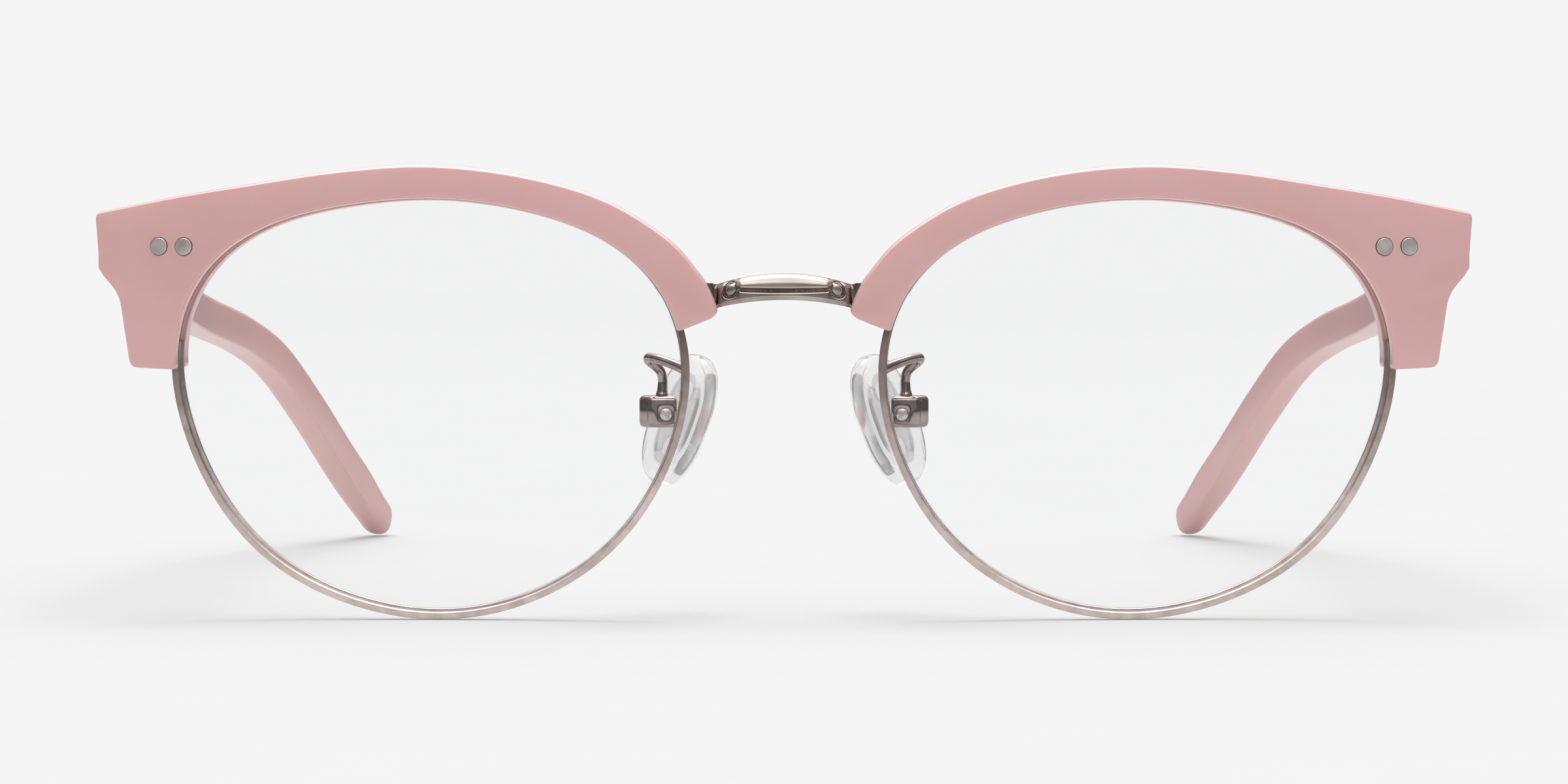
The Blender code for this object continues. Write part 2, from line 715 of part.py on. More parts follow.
def build_nose_pad(side, sign):
    pivot = (PAD_AXIS_X, BOX[0][1], PAD_AXIS_Z)
    half = PAD_HALF_THICKNESS
    levels = ((-half, 0.8), (-0.7 * half, 0.94), (0.0, 1.0), (0.7 * half, 0.94), (half, 0.8))
    rings = [pad_outline(PAD_LENGTH * size, PAD_WIDTH * size, depth) for depth, size in levels]
    pad = piece(f"nose_pad_{side}", rings, sign, "silicone", origin=pivot)
    thick, gap = INSERT_HALF_THICKNESS, INSERT_GAP
    plate = [pad_outline(INSERT_LENGTH, INSERT_WIDTH, depth) for depth in (-thick, thick)]
    insert = piece(f"pad_insert_{side}", plate, sign, "insert", origin=pivot)
    add(insert, box_rings(*LUG), sign)
    cut(insert, turned(Vector((PAD_AXIS_X, 5.0, PAD_AXIS_Z)), Vector((0, 1, 0)), LUG_BORE), sign)
    room_size = (INSERT_LENGTH + 2 * gap, INSERT_WIDTH + 2 * gap)
    cut(pad, [pad_outline(*room_size, depth) for depth in (-thick - gap, thick + gap)], sign)
    low, high = LUG
    cut(pad, box_rings([value - gap for value in low], [value + gap for value in high]), sign)


def main():
    clear_scene()
    build_bridge()
    for side, sign in SIDES:
        build_brow(side, sign)
        build_eyewire(side, sign)
        build_lens(side, sign)
        build_rim_screws(side, sign)
        build_hinge(side, sign)
        build_rivets(side, sign)
        build_temple(side, sign)
        build_pad_arm(side, sign)
        build_pad_box(side, sign)
        build_nose_pad(side, sign)


main()
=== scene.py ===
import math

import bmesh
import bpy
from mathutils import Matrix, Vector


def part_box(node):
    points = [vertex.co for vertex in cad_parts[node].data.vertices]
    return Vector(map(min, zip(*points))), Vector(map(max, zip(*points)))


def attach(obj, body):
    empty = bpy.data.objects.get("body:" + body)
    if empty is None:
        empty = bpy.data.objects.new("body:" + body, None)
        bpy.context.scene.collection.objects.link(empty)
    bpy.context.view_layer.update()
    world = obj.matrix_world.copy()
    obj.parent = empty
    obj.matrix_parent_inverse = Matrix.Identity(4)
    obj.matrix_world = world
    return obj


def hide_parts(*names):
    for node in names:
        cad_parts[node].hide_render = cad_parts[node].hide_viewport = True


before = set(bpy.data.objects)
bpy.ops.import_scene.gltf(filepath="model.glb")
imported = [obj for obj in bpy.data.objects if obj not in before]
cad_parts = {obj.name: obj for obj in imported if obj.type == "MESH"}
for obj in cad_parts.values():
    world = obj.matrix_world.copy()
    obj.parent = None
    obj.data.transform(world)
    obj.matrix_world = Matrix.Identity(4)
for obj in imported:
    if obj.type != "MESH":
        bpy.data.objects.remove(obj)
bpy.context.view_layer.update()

# Fine surfaces and materials for the browline eyeglasses. Lengths below are in millimetres. The
# front has its own frame: u out from the middle, v back through the front, w up from the lens
# centre. Each half is made for the wearer's left (+X) and mirrored for the right.

MM = 0.001
SIDES = (("left", 1.0), ("right", -1.0))

# The front's curve and stance, as in the CAD model
TILT = math.radians(3.4)
WRAP_SLOPE = 0.052
BASE_RADIUS = 170.0
LENS_U = 35.3
LENS_Z = 21.42
LENS_RADII = (24.8, 25.35, 22.1, 20.7, 22.4, 25.95, 24.7, 22.55, 21.05, 20.63, 21.35, 22.85)

# Lens: its sections' angular step, and the shares of the radius at which its faces have rings
LENS_STEP = 2.5
LENS_SHARES = (0.02, 0.2, 0.4, 0.6, 0.8, 0.93)
LENS_HALF_THICKNESS = 0.95
LENS_INSET = 0.1
LENS_BEVEL_HEIGHT = 0.4
LENS_BEVEL_HALF_WIDTH = 0.45

# Metal rim, with an ear at each end that a screw holds to the brow
RIM_WIDTH = 0.72
RIM_HALF_DEPTH = 1.0
RIM_GROOVE_DEPTH = 0.42
RIM_GROOVE_HALF_WIDTH = 0.52
RIM_ENDS = (166.0, 390.0)
RIM_STEP = 1.25
NASAL_EAR_FLAT = (0.04, 0.95)
NASAL_EAR_INNER = 7.7
NASAL_EAR_OUTER = ((11.05, 9.5), (12.3, 12.1))
TEMPORAL_EAR = ((60.9, -0.45, 4.4), (62.6, 0.45, 6.3))

# Acetate brow: its outlines as (u, w), the wing's with a radius for each corner
BROW_FRONT = -2.2
BROW_BACK = 2.6
GROOVE_HALF_WIDTH = 1.1
GROOVE_DEPTH = 0.9
NASAL_SPREAD = (17.7, 21.0)
LEG_SPREAD = (166.0, 171.3)
CAP_ROUND = 0.3
TOP_OUTLINE = (
    (8.0, 8.6), (7.25, 8.88), (6.78, 9.6), (7.35, 11.3), (8.65, 13.45), (11.9, 16.95),
    (18.2, 20.75), (26.4, 23.07), (35.5, 24.03), (44.5, 23.4), (54.3, 21.82), (61.0, 20.62),
    (67.6, 19.2),
)
WING_CORNERS = (
    (67.6, 19.2, 0.0), (68.75, 18.95, 0.55), (68.3, 13.2, 0.6),
    (66.35, 11.0, 1.3), (65.3, 3.72, 0.9), (64.1, 3.7, 0.0),
)
NASAL_POCKET = ((5.0, -1.16, 6.0), (12.4, 4.0, 12.6))
TEMPORAL_POCKET = ((59.0, -0.6, 3.0), (62.9, 0.6, 6.6))

# Screws: shaft radius, head radius, head height and slot depth. Bores and rivets are turned, from
# pairs of a distance along the axis and a radius.
RIM_SCREW = (0.4, 0.8, 0.42, 0.2)
HINGE_SCREW = (0.55, 0.95, 0.4, 0.2)
PAD_SCREW = (0.36, 0.66, 0.4, 0.16)
NASAL_SCREW = (9.0, 10.8)
TEMPORAL_SCREW = (61.55, 5.3)
RIM_SCREWS = (("nasal", NASAL_SCREW, 2.72), ("temporal", TEMPORAL_SCREW, 3.9))
RIM_SCREW_START = -1.7
RIM_SCREW_HOLE = 0.52
TEMPORAL_BORE_START = -1.8
TEMPORAL_BORE = ((0.0, 0.47), (3.95, 0.47), (3.95, 0.92), (6.0, 0.92))

FRONT_RIVETS = (("outer", 62.1), ("inner", 59.6))
FRONT_RIVET_W = 15.72
FRONT_RIVET_START = -2.23
FRONT_RIVET_HEAD = ((0.0, 0.8), (0.03, 0.84), (0.08, 0.855), (0.33, 0.855), (0.33, 0.6))
FRONT_RIVET_TAIL = ((5.8, 0.6), (5.8, 0.76), (5.95, 0.8), (6.06, 0.74), (6.12, 0.6))
FRONT_RIVET_HOLE = 0.68
FRONT_RIVET_BORE_START = -3.2
FRONT_RIVET_BORE = ((0.0, 1.05), (0.98, 1.05), (1.13, 0.92), (1.35, 0.9), (1.35, 0.68), (8.0, 0.68))

TEMPLE_RIVETS = (("front", 11.2), ("rear", 14.8))
TEMPLE_RIVET_X = 64.2
TEMPLE_RIVET_Z = 36.3
TEMPLE_RIVET_TAIL = ((0.0, 0.5), (0.12, 0.7), (0.3, 0.79), (0.36, 0.79), (0.36, 0.5))
TEMPLE_RIVET_HEAD = ((4.75, 0.5), (4.75, 0.8), (4.98, 0.8), (5.02, 0.76))
TEMPLE_RIVET_HOLE = 0.58
TEMPLE_RIVET_BORE_X = 64.5
TEMPLE_RIVET_BORE = ((0.0, 0.58), (4.3, 0.58), (4.3, 0.85), (4.62, 0.85), (4.72, 0.93), (6.0, 0.93))

# Hinge: a box is given in the order in which it is drawn, with its depth last
PIN_X = 63.9
PIN_Y = 7.9
KNUCKLE_RADIUS = 1.25
KNUCKLE_SOFT = 0.12
KNUCKLE_HOLE = 0.62
KNUCKLES = ((34.9, 36.6), (36.68, 38.22), (38.3, 40.0))
PIN_BORE = (33.0, 9.0)
HINGE_SCREW_LOW = 34.8
HINGE_SCREW_LENGTH = 5.25
WING_BLOCK = ((3.2, 34.95, 65.32), (7.8, 40.0, 68.8))
LEAF = ((58.3, 13.7, 2.8), (62.9, 17.8, 3.5))
LEAF_ARM = ((61.9, 6.72), (63.9, 8.35))
LEAF_ARM_HEIGHT = 1.4
PLATE = ((9.15, 34.9, 64.62), (17.2, 37.7, 65.2))
PLATE_ARM = ((63.9, 7.6), (65.16, 10.0))

# Temple: centre line, with the height and the thickness of its section
TEMPLE_PATH = (
    (67.25, 8.0, 37.4, 5.2, 3.9),
    (67.25, 18.0, 36.1, 5.0, 3.9),
    (67.25, 32.0, 34.2, 4.7, 3.9),
    (66.9, 55.0, 31.1, 4.3, 3.8),
    (66.1, 75.0, 28.8, 4.2, 3.8),
    (63.2, 94.0, 26.1, 4.1, 3.7),
    (60.2, 105.0, 22.7, 4.1, 3.6),
    (57.1, 117.0, 16.6, 4.2, 3.5),
    (53.7, 130.0, 9.0, 4.2, 3.5),
    (50.1, 140.6, 2.12, 4.2, 3.5),
)
TEMPLE_CORNERS = (1.0, 0.6, 0.25, 1.3)
FRONT_END_SHRINK = 0.3
FRONT_END_SHIFT = Vector((0, 0.15, -0.02))
TIP_ROUND = 3.0
TIP_CORNER = 1.75
TIP_BLEND = 9.0
TIP_REACH = 2.2
TIP_RINGS = 11
TIP_CLOSING = 10.4
CHANNEL_RADIUS = 0.714
CORE_LIFT = 1.45
CORE_LIFT_LENGTH = 45.0

# Bridge: a foot's depths and heights in the front's frame, then the body between the feet, where
# a pair is a value in the middle and its change along the saddle's curve
BRIDGE_HALF = 10.3
BRIDGE_FOOT = ((-1.0, -0.06), (9.4, 12.3))
BRIDGE_BODY_END = 6.45
BRIDGE_CURVE_HALF = 7.0
BRIDGE_LOW = (32.1, -0.85)
BRIDGE_HIGH = (34.75, -1.2)
BRIDGE_FRONT = (-1.15, 0.5)
BRIDGE_BACK = 0.75
BRIDGE_BACK_ROUND = 0.3
BRIDGE_ROWS = 56
BRIDGE_BACK_ROWS = 8
BRIDGE_STATIONS = 280
KNOB_U = 5.3
KNOB_RADIUS = 0.68
LEAF_RISE, PANEL_RISE, KNOB_RISE = 0.34, 0.12, 0.2
GROOVE_SINK, RING_SINK, FACET_SINK, CHAMFER_SINK = 0.34, 0.26, 0.6, 0.4

# Nose pad, with its stiff insert and the lug that a screw holds in the box
PAD_CENTRE = Vector((10.6, 10.6, 19.7))
PAD_LENGTH = 13.8
PAD_WIDTH = 8.0
PAD_HALF_THICKNESS = 1.25
PAD_LEAN = Vector((-4.6, 0.0, 13.0))
PAD_SPLAY = math.radians(40.0)
PAD_AXIS_X = 11.9
PAD_AXIS_Z = 20.45
PAD_SCREW_START = 8.1
PAD_SCREW_LENGTH = 2.58
PAD_BORE_RADIUS = 0.44
INSERT = (9.6, 4.2)
INSERT_HALF_THICKNESS = 0.35
INSERT_GAP = 0.1
WINDOW = (2.2, 2.4)
WINDOW_PLACE = 3.0
LUG = ((0.8, 0.6), (6.1, 11.9))
LUG_ROOM = ((0.92, 0.72), (5.98, 12.0))
BOX = ((10.8, 5.2, 19.1), (14.6, 8.0, 22.3))
BOX_BEVEL = 1.15
BOX_CAVITY = ((10.0, 6.0, 19.5), (13.1, 9.0, 21.4))
BOX_RECESS = ((0.85, 0.95), (4.5, 5.5))
ARM_RADIUS = 0.49
SOLDER_RADIUS = 0.16
SOLDER_SPREAD = 4.0
SOLDER_INSIDE = 10
ARM_PATH = (
    (9.9, 1.98, 25.1), (11.2, 2.9, 25.6), (12.6, 3.7, 26.05), (13.5, 4.5, 26.2),
    (13.65, 5.4, 25.9), (13.05, 6.1, 25.35), (12.45, 6.5, 24.7), (12.25, 6.6, 23.8),
    (12.3, 6.6, 22.6), (12.3, 6.6, 21.8),
)

# Floor: the share of light it sends back, its own glow, and how it dims far off in reflections
FLOOR_ALBEDO = 0.361
FLOOR_GLOW = 0.26
FAR_FLOOR = 0.12
FLOOR_FALLOFF = (0.25, 0.7)
FLOOR_HALF_SIZE = 30.0
FLOOR_GAP = 0.00005

# Studio: two strengths, and the height or sideways part of a direction at which each is reached
SOFTBOX = (0.0, 2.2, 0.3, 0.6)
SOFTBOX_SIDES = (1.0, 0.2, 0.25, 0.75)
WALLS = (0.45, 0.2, 0.3, 0.7)
BACKDROP = (0.913, 0.913, 0.913, 1.0)
SUN_DIRECTION = Vector((0.0, -0.15, -1.0))
SUN_SPREAD = 35.0
SUN_STRENGTH = 1.6

# Camera: millimetres before the lenses, its height, and the height it is aimed at
CAMERA_DISTANCE = 600.0
CAMERA_HEIGHT = 45.0
CAMERA_AIM = 22.9
CAMERA_LENS = 138.0

# The hinge screw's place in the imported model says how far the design's depth is shifted
screw_low, screw_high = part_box("hinge_screw_left")
DEPTH_SHIFT = (screw_low.y + screw_high.y) / 2 / MM - PIN_Y


# Mesh helpers


def fillet(corners, steps=4):
    """A closed outline from corners (x, y, radius), each rounded off by a short curve."""
    points = []
    count = len(corners)
    for index, (x, y, radius) in enumerate(corners):
        here = Vector((x, y))
        before = Vector(corners[index - 1][:2]) - here
        after = Vector(corners[(index + 1) % count][:2]) - here
        start = here + before.normalized() * min(radius, before.length / 2)
        end = here + after.normalized() * min(radius, after.length / 2)
        for step in range(steps + 1):
            t = step / steps
            points.append(start * (1 - t) ** 2 + here * (2 * t * (1 - t)) + end * t**2)
    return points


def spline(points, steps):
    """A smooth curve through all the points, as tuples of numbers."""
    ends = [points[0], *points, points[-1]]
    made = []
    for i in range(1, len(ends) - 2):
        a, b, c, d = ends[i - 1 : i + 3]
        for step in range(steps):
            t = step / steps
            row = []
            for p, q, r, s in zip(a, b, c, d):
                square = 2 * p - 5 * q + 4 * r - s
                cube = 3 * q - p - 3 * r + s
                row.append(0.5 * (2 * q + (r - p) * t + square * t * t + cube * t**3))
            made.append(tuple(row))
    made.append(tuple(points[-1]))
    return made


def direction(points, index):
    """The direction along a row of points at one of them."""
    ahead = points[min(index + 1, len(points) - 1)]
    return (ahead - points[max(index - 1, 0)]).normalized()


def loft(rings):
    """A closed bmesh skinned over rings with the same number of points."""
    made = bmesh.new()
    loops = [[made.verts.new(point) for point in ring] for ring in rings]
    for first, second in zip(loops, loops[1:]):
        count = len(first)
        for i in range(count):
            j = (i + 1) % count
            made.faces.new((first[i], first[j], second[j], second[i]))
    made.faces.new(loops[0])
    made.faces.new(loops[-1])
    return made


def new_object(name, data):
    made = bpy.data.objects.new(name, data)
    bpy.context.scene.collection.objects.link(made)
    return made


def make_object(name, shell, sign=1.0, origin=None):
    """An object in the row frame from a bmesh of the left half, in millimetres."""
    centre = Vector((0, 0, 0))
    if origin:
        centre = Vector((sign * origin.x, origin.y + DEPTH_SHIFT, origin.z)) * MM
    for vert in shell.verts:
        x, y, z = vert.co
        vert.co = Vector((sign * x, y + DEPTH_SHIFT, z)) * MM - centre
    bmesh.ops.recalc_face_normals(shell, faces=shell.faces)
    mesh = bpy.data.meshes.new(name)
    shell.to_mesh(mesh)
    shell.free()
    made = new_object(name, mesh)
    made.location = centre
    bpy.context.view_layer.update()
    return made


def combine(target, shells, operation, sign):
    """Join the shells to the target, or cut them out of it."""
    tools = []
    for shell in shells:
        tool = make_object("tool", shell, sign)
        change = target.modifiers.new("change", "BOOLEAN")
        change.operation = operation
        change.object = tool
        tools.append(tool)
    graph = bpy.context.evaluated_depsgraph_get()
    mesh = bpy.data.meshes.new_from_object(target.evaluated_get(graph))
    target.modifiers.clear()
    target.data = mesh
    for tool in tools:
        bpy.data.objects.remove(tool, do_unlink=True)


def finish_piece(made, body, node, materials, sharp=32):
    """Shade a piece, give it its materials and let it stand for its CAD node."""
    made.data.shade_smooth()
    made.data.set_sharp_from_angle(angle=math.radians(sharp))
    made.data.materials.clear()
    for material in materials:
        made.data.materials.append(material)
    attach(made, body)
    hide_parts(node)


def build_piece(name, body, sign, shell, material, joined=(), cuts=()):
    """A piece from a shell, with others joined to it and then cut out of it."""
    made = make_object(f"{name}_fine", shell, sign)
    if joined:
        combine(made, joined, "UNION", sign)
    if cuts:
        combine(made, cuts, "DIFFERENCE", sign)
    finish_piece(made, body, name, [material])


def circle(centre, first, second, radius, count):
    points = []
    for index in range(count):
        angle = 2 * math.pi * index / count
        along, across = radius * math.cos(angle), radius * math.sin(angle)
        points.append(centre + first * along + second * across)
    return points


def turned(start, axis, profile, count=40):
    """A turned shell: each profile pair is a distance along the axis and a radius."""
    axis = Vector(axis).normalized()
    first = axis.orthogonal().normalized()
    second = axis.cross(first)
    start = Vector(start)
    rings = []
    for along, radius in profile:
        rings.append(circle(start + axis * along, first, second, radius, count))
    return loft(rings)


def bore(start, axis, radius, length, count=28):
    return turned(start, axis, ((0.0, radius), (length, radius)), count)


def prism(outline, low, high, place):
    """An outline extruded between two depths: place turns (x, y, depth) into a point."""
    return loft([[place((p[0], p[1], depth)) for p in outline] for depth in (low, high)])


def soft_prism(outline_at, low, high, soft, place, steps=4):
    """An extruded outline with rounded rims: outline_at gives the outline for an inset."""
    rings = []
    for step in range(steps + 1):
        turn = math.pi / 2 * step / steps
        rings.append((low + soft * (1 - math.sin(turn)), soft * (1 - math.cos(turn))))
    rings = rings[::-1]
    rings += [(low + high - depth, inset) for depth, inset in reversed(rings)]
    return loft([[place((p[0], p[1], depth)) for p in outline_at(inset)] for depth, inset in rings])


def soft_box(low, high, corner=0.3, soft=0.15, place=Vector):
    """A box between two corners, rounded round its Z edges and softened at its ends."""

    def outline(inset):
        left, right = low[0] + inset, high[0] - inset
        near, far = low[1] + inset, high[1] - inset
        radius = max(corner - inset, 0.02)
        places = ((left, near), (right, near), (right, far), (left, far))
        return fillet([(x, y, radius) for x, y in places], 4)

    return soft_prism(outline, low[2], high[2], soft, place)


def side_on(point):
    """Place a shape that is drawn in (y, z), with its depth along x."""
    return Vector((point[2], point[0], point[1]))


def face_on(point):
    """Place a shape that is drawn in (x, z), with its depth along y."""
    return Vector((point[0], point[2], point[1]))


# The curved and tilted front


def front_point(flat):
    """Place a point (u, v, w) of the flat half front on the curved and tilted one."""
    u, v, w = flat
    out = u - LENS_U
    drop = math.sqrt(BASE_RADIUS**2 - out**2 - w**2)
    normal = Vector((-out / drop - WRAP_SLOPE, 1.0, -w / drop)).normalized()
    curved = Vector((u, BASE_RADIUS - drop + WRAP_SLOPE * out, w)) + normal * v
    y = curved.y * math.cos(TILT) - curved.z * math.sin(TILT)
    z = curved.z * math.cos(TILT) + curved.y * math.sin(TILT)
    return Vector((curved.x, y, LENS_Z + z))


def front_axis(u, w):
    return (front_point((u, 1.0, w)) - front_point((u, 0.0, w))).normalized()


def front_turned(spot, depth, profile, count=28):
    """A turned shell along the front's depth, from a depth at a spot (u, w)."""
    u, w = spot
    return turned(front_point((u, depth, w)), front_axis(u, w), profile, count)


def lens_radius(degrees):
    """The lens opening's radius, by trigonometric interpolation of its driving radii."""
    count = len(LENS_RADII)
    total = 0.0
    for index, radius in enumerate(LENS_RADII):
        gap = math.radians(degrees) - 2 * math.pi * index / count
        waves = sum(math.cos(order * gap) for order in range(1, count // 2))
        total += radius * (1 + 2 * waves + math.cos(count // 2 * gap)) / count
    return total


def polar(degrees, radius):
    angle = math.radians(degrees)
    return Vector((LENS_U - radius * math.cos(angle), radius * math.sin(angle)))


def ray_angle(point):
    return math.degrees(math.atan2(point[1], LENS_U - point[0]))


# Materials


def colour_inputs(mix):
    return [socket for socket in mix.inputs if socket.type == "RGBA"]


def colour_output(mix):
    return next(socket for socket in mix.outputs if socket.type == "RGBA")


class Tree:
    """The node tree of a new material or world, with short calls for its nodes."""

    def __init__(self, owner):
        owner.use_nodes = True
        self.owner = owner
        self.nodes = owner.node_tree.nodes
        self.links = owner.node_tree.links
        self.shader = self.nodes.get("Principled BSDF")

    def node(self, kind, **settings):
        made = self.nodes.new(kind)
        for key, value in settings.items():
            setattr(made, key, value)
        return made

    def link(self, source, target):
        self.links.new(source, target)

    def drive(self, name, source):
        self.link(source, self.shader.inputs[name])

    def math(self, operation, *values):
        """The result of an operation on sockets and plain numbers."""
        made = self.node("ShaderNodeMath", operation=operation)
        for value, target in zip(values, made.inputs):
            if isinstance(value, float):
                target.default_value = value
            else:
                self.link(value, target)
        return made.outputs[0]

    def noise(self, scale, stretch=(1.0, 1.0, 1.0), detail=3.0):
        """Noise over the object's own coordinates, in features per metre."""
        place = self.node("ShaderNodeTexCoord")
        mapping = self.node("ShaderNodeMapping")
        mapping.inputs["Scale"].default_value = stretch
        self.link(place.outputs["Object"], mapping.inputs["Vector"])
        made = self.node("ShaderNodeTexNoise")
        made.inputs["Scale"].default_value = scale
        made.inputs["Detail"].default_value = detail
        self.link(mapping.outputs["Vector"], made.inputs["Vector"])
        return made.outputs["Fac"]

    def ramp(self, source, low, high, start=0.3, end=0.7, kind="LINEAR"):
        """Map a value between start and end to colours or numbers between low and high."""
        made = self.node("ShaderNodeMapRange", interpolation_type=kind)
        made.inputs["From Min"].default_value = start
        made.inputs["From Max"].default_value = end
        if isinstance(low, tuple):
            self.link(source, made.inputs["Value"])
            mix = self.node("ShaderNodeMix", data_type="RGBA")
            colour_inputs(mix)[0].default_value = (*low, 1.0)
            colour_inputs(mix)[1].default_value = (*high, 1.0)
            self.link(made.outputs["Result"], mix.inputs["Factor"])
            return colour_output(mix)
        made.inputs["To Min"].default_value = low
        made.inputs["To Max"].default_value = high
        self.link(source, made.inputs["Value"])
        return made.outputs["Result"]

    def place(self, axis):
        """A point's place along one of the object's axes, in metres."""
        coordinates = self.node("ShaderNodeTexCoord")
        parts = self.node("ShaderNodeSeparateXYZ")
        self.link(coordinates.outputs["Object"], parts.inputs["Vector"])
        return parts.outputs[axis]

    def paint_shade(self, source, tone, start, end):
        """Darken the base colour towards a tone as the source goes from start to end, as painted
        shade.
        """
        clean = self.shader.inputs["Base Color"].links[0].from_socket
        darker = self.ramp(source, (1.0, 1.0, 1.0), tone, start, end)
        self.drive("Base Color", self.multiply(clean, darker))

    def multiply(self, first, second):
        """The product of two colours."""
        made = self.node("ShaderNodeMix", data_type="RGBA", blend_type="MULTIPLY")
        made.inputs["Factor"].default_value = 1.0
        for source, target in zip((first, second), colour_inputs(made)):
            self.link(source, target)
        return colour_output(made)

    def bump(self, source, depth, strength=0.3):
        made = self.node("ShaderNodeBump")
        made.inputs["Distance"].default_value = depth
        made.inputs["Strength"].default_value = strength
        self.link(source, made.inputs["Height"])
        self.drive("Normal", made.outputs["Normal"])

    def looking(self):
        """1 for rays from the camera or through something clear, and 0 for the others."""
        rays = self.node("ShaderNodeLightPath").outputs
        return self.math("MAXIMUM", rays["Is Camera Ray"], rays["Is Transmission Ray"])

    def mix_shaders(self, share, first, second, output):
        mix = self.node("ShaderNodeMixShader")
        for source, target in zip((share, first.outputs[0], second.outputs[0]), mix.inputs):
            self.link(source, target)
        self.link(mix.outputs["Shader"], output.inputs["Surface"])

    def set(self, **values):
        for key, value in values.items():
            self.shader.inputs[key.replace("_", " ")].default_value = value
        return self.owner


def material_tree(name):
    return Tree(bpy.data.materials.new(name))


def acetate_material(name, coat, rough, specular):
    """Polished pink cellulose acetate: faint clouds in its colour and fine buffing marks."""
    tree = material_tree(name)
    clouds = tree.noise(60.0, (1.0, 1.0, 1.4))
    tree.drive("Base Color", tree.ramp(clouds, (0.705, 0.422, 0.410), (0.740, 0.452, 0.442)))
    marks = tree.noise(1400.0, detail=4.0)
    tree.drive("Roughness", tree.ramp(marks, rough, rough + 0.08))
    tree.bump(marks, 0.00001, 0.03)
    tree.shader.inputs["Subsurface Radius"].default_value = (1.0, 0.4, 0.32)
    tree.set(Coat_Weight=coat, Coat_Roughness=0.1, Specular_IOR_Level=specular)
    return tree.set(Subsurface_Weight=0.3, Subsurface_Scale=0.0012)


def plated_metal(name, dark, light, rough, streak):
    """Antique silver plating: brushed streaks in colour and roughness."""
    tree = material_tree(name)
    brush = tree.noise(700.0, streak, 6.0)
    patina = tree.math("MULTIPLY", tree.noise(160.0), 0.45)
    mixed = tree.math("MULTIPLY_ADD", brush, 0.55, patina)
    tree.drive("Base Color", tree.ramp(mixed, dark, light, 0.38, 0.62))
    tree.drive("Roughness", tree.ramp(brush, *rough))
    tree.bump(brush, 0.00003, 0.2)
    return tree


def bare_metal(*settings):
    return plated_metal(*settings).set(Metallic=1.0)


def brushed_round(*settings):
    """Plating brushed along circles round the lens's centre, and darker towards the top as painted
    shade.
    """
    tree = plated_metal(*settings)
    # Painted shade: the rim's colour darkens upwards from below the lens centre, standing in for
    # the dimmer reflections higher on the rim.
    tree.paint_shade(tree.place("Z"), (0.3, 0.26, 0.25), -0.010, 0.007)
    around = tree.node("ShaderNodeTangent", direction_type="RADIAL", axis="Y")
    tree.drive("Tangent", around.outputs["Tangent"])
    return tree.set(Metallic=1.0, Anisotropic=0.75)


def bridge_metal():
    """Plating bright in the middle of the bridge, with painted shade darkening it towards its feet.
    """
    dark, light = (0.30, 0.25, 0.23), (0.56, 0.50, 0.46)
    tree = plated_metal("bridge_metal", dark, light, (0.16, 0.26), ALONG_X)
    distance = tree.math("ABSOLUTE", tree.place("X"))
    # Painted shade: the colour darkens towards the feet, where the bridge meets the brows.
    tree.paint_shade(distance, (0.55, 0.50, 0.48), 0.003, 0.007)
    return tree.set(Metallic=1.0)


def clear_lens():
    """Clear polished lens: a thin sheet that shows what is behind it, with its own reflections."""
    tree = material_tree("clear_lens")
    tree.nodes.remove(tree.shader)
    clear = tree.node("ShaderNodeBsdfTransparent")
    clear.inputs["Color"].default_value = (0.992, 0.994, 0.994, 1.0)
    gloss = tree.node("ShaderNodeBsdfGlossy")
    smear = tree.noise(90.0, detail=2.0)
    tree.link(tree.ramp(smear, 0.0, 0.03), gloss.inputs["Roughness"])
    angle = tree.node("ShaderNodeLayerWeight")
    angle.inputs["Blend"].default_value = 0.5
    share = tree.ramp(tree.math("POWER", angle.outputs["Facing"], 5.0), 0.015, 0.5, 0.0, 1.0)
    tree.mix_shaders(share, clear, gloss, tree.nodes["Material Output"])
    return tree.owner


def ground_edge(name, low_tone, high_tone, alpha):
    """The lens's ground bevel, frosted, with one tone low on the lens and another higher up, for
    painted light and shade where they differ.
    """
    tree = material_tree(name)
    # Where the two tones differ, this is painted light low on the lens and painted shade higher up.
    tone = tree.ramp(tree.place("Z"), low_tone, high_tone, -0.017, -0.011)
    grain = tree.noise(2500.0, detail=4.0)
    speckle = tree.ramp(grain, (0.8, 0.8, 0.8), (1.0, 1.0, 1.0))
    tree.drive("Base Color", tree.multiply(tone, speckle))
    tree.drive("Roughness", tree.ramp(grain, 0.4, 0.6))
    tree.bump(grain, 0.00004, 0.3)
    return tree.set(Specular_IOR_Level=0.4, Alpha=alpha)


def clear_plastic(name, grain, dark, light, index):
    """Clear silicone or hard plastic, faintly hazy."""
    tree = material_tree(name)
    haze = tree.noise(grain)
    tree.drive("Roughness", tree.ramp(haze, 0.05, 0.12))
    tree.drive("Base Color", tree.ramp(haze, dark, light))
    return tree.set(Transmission_Weight=0.88, IOR=index)


# How far a metal's marks are drawn out along each axis
ALONG_X, ALONG_Y, EVEN = (0.15, 1.0, 1.0), (1.0, 0.15, 1.0), (1.0, 1.0, 1.0)

ACETATE = acetate_material("pink_acetate", 0.8, 0.3, 0.5)
TEMPLE_ACETATE = acetate_material("pink_temple_acetate", 0.35, 0.35, 0.35)
RIM_METAL = brushed_round(
    "brushed_rim", (0.57, 0.475, 0.455), (0.82, 0.70, 0.67), (0.28, 0.42), EVEN
)
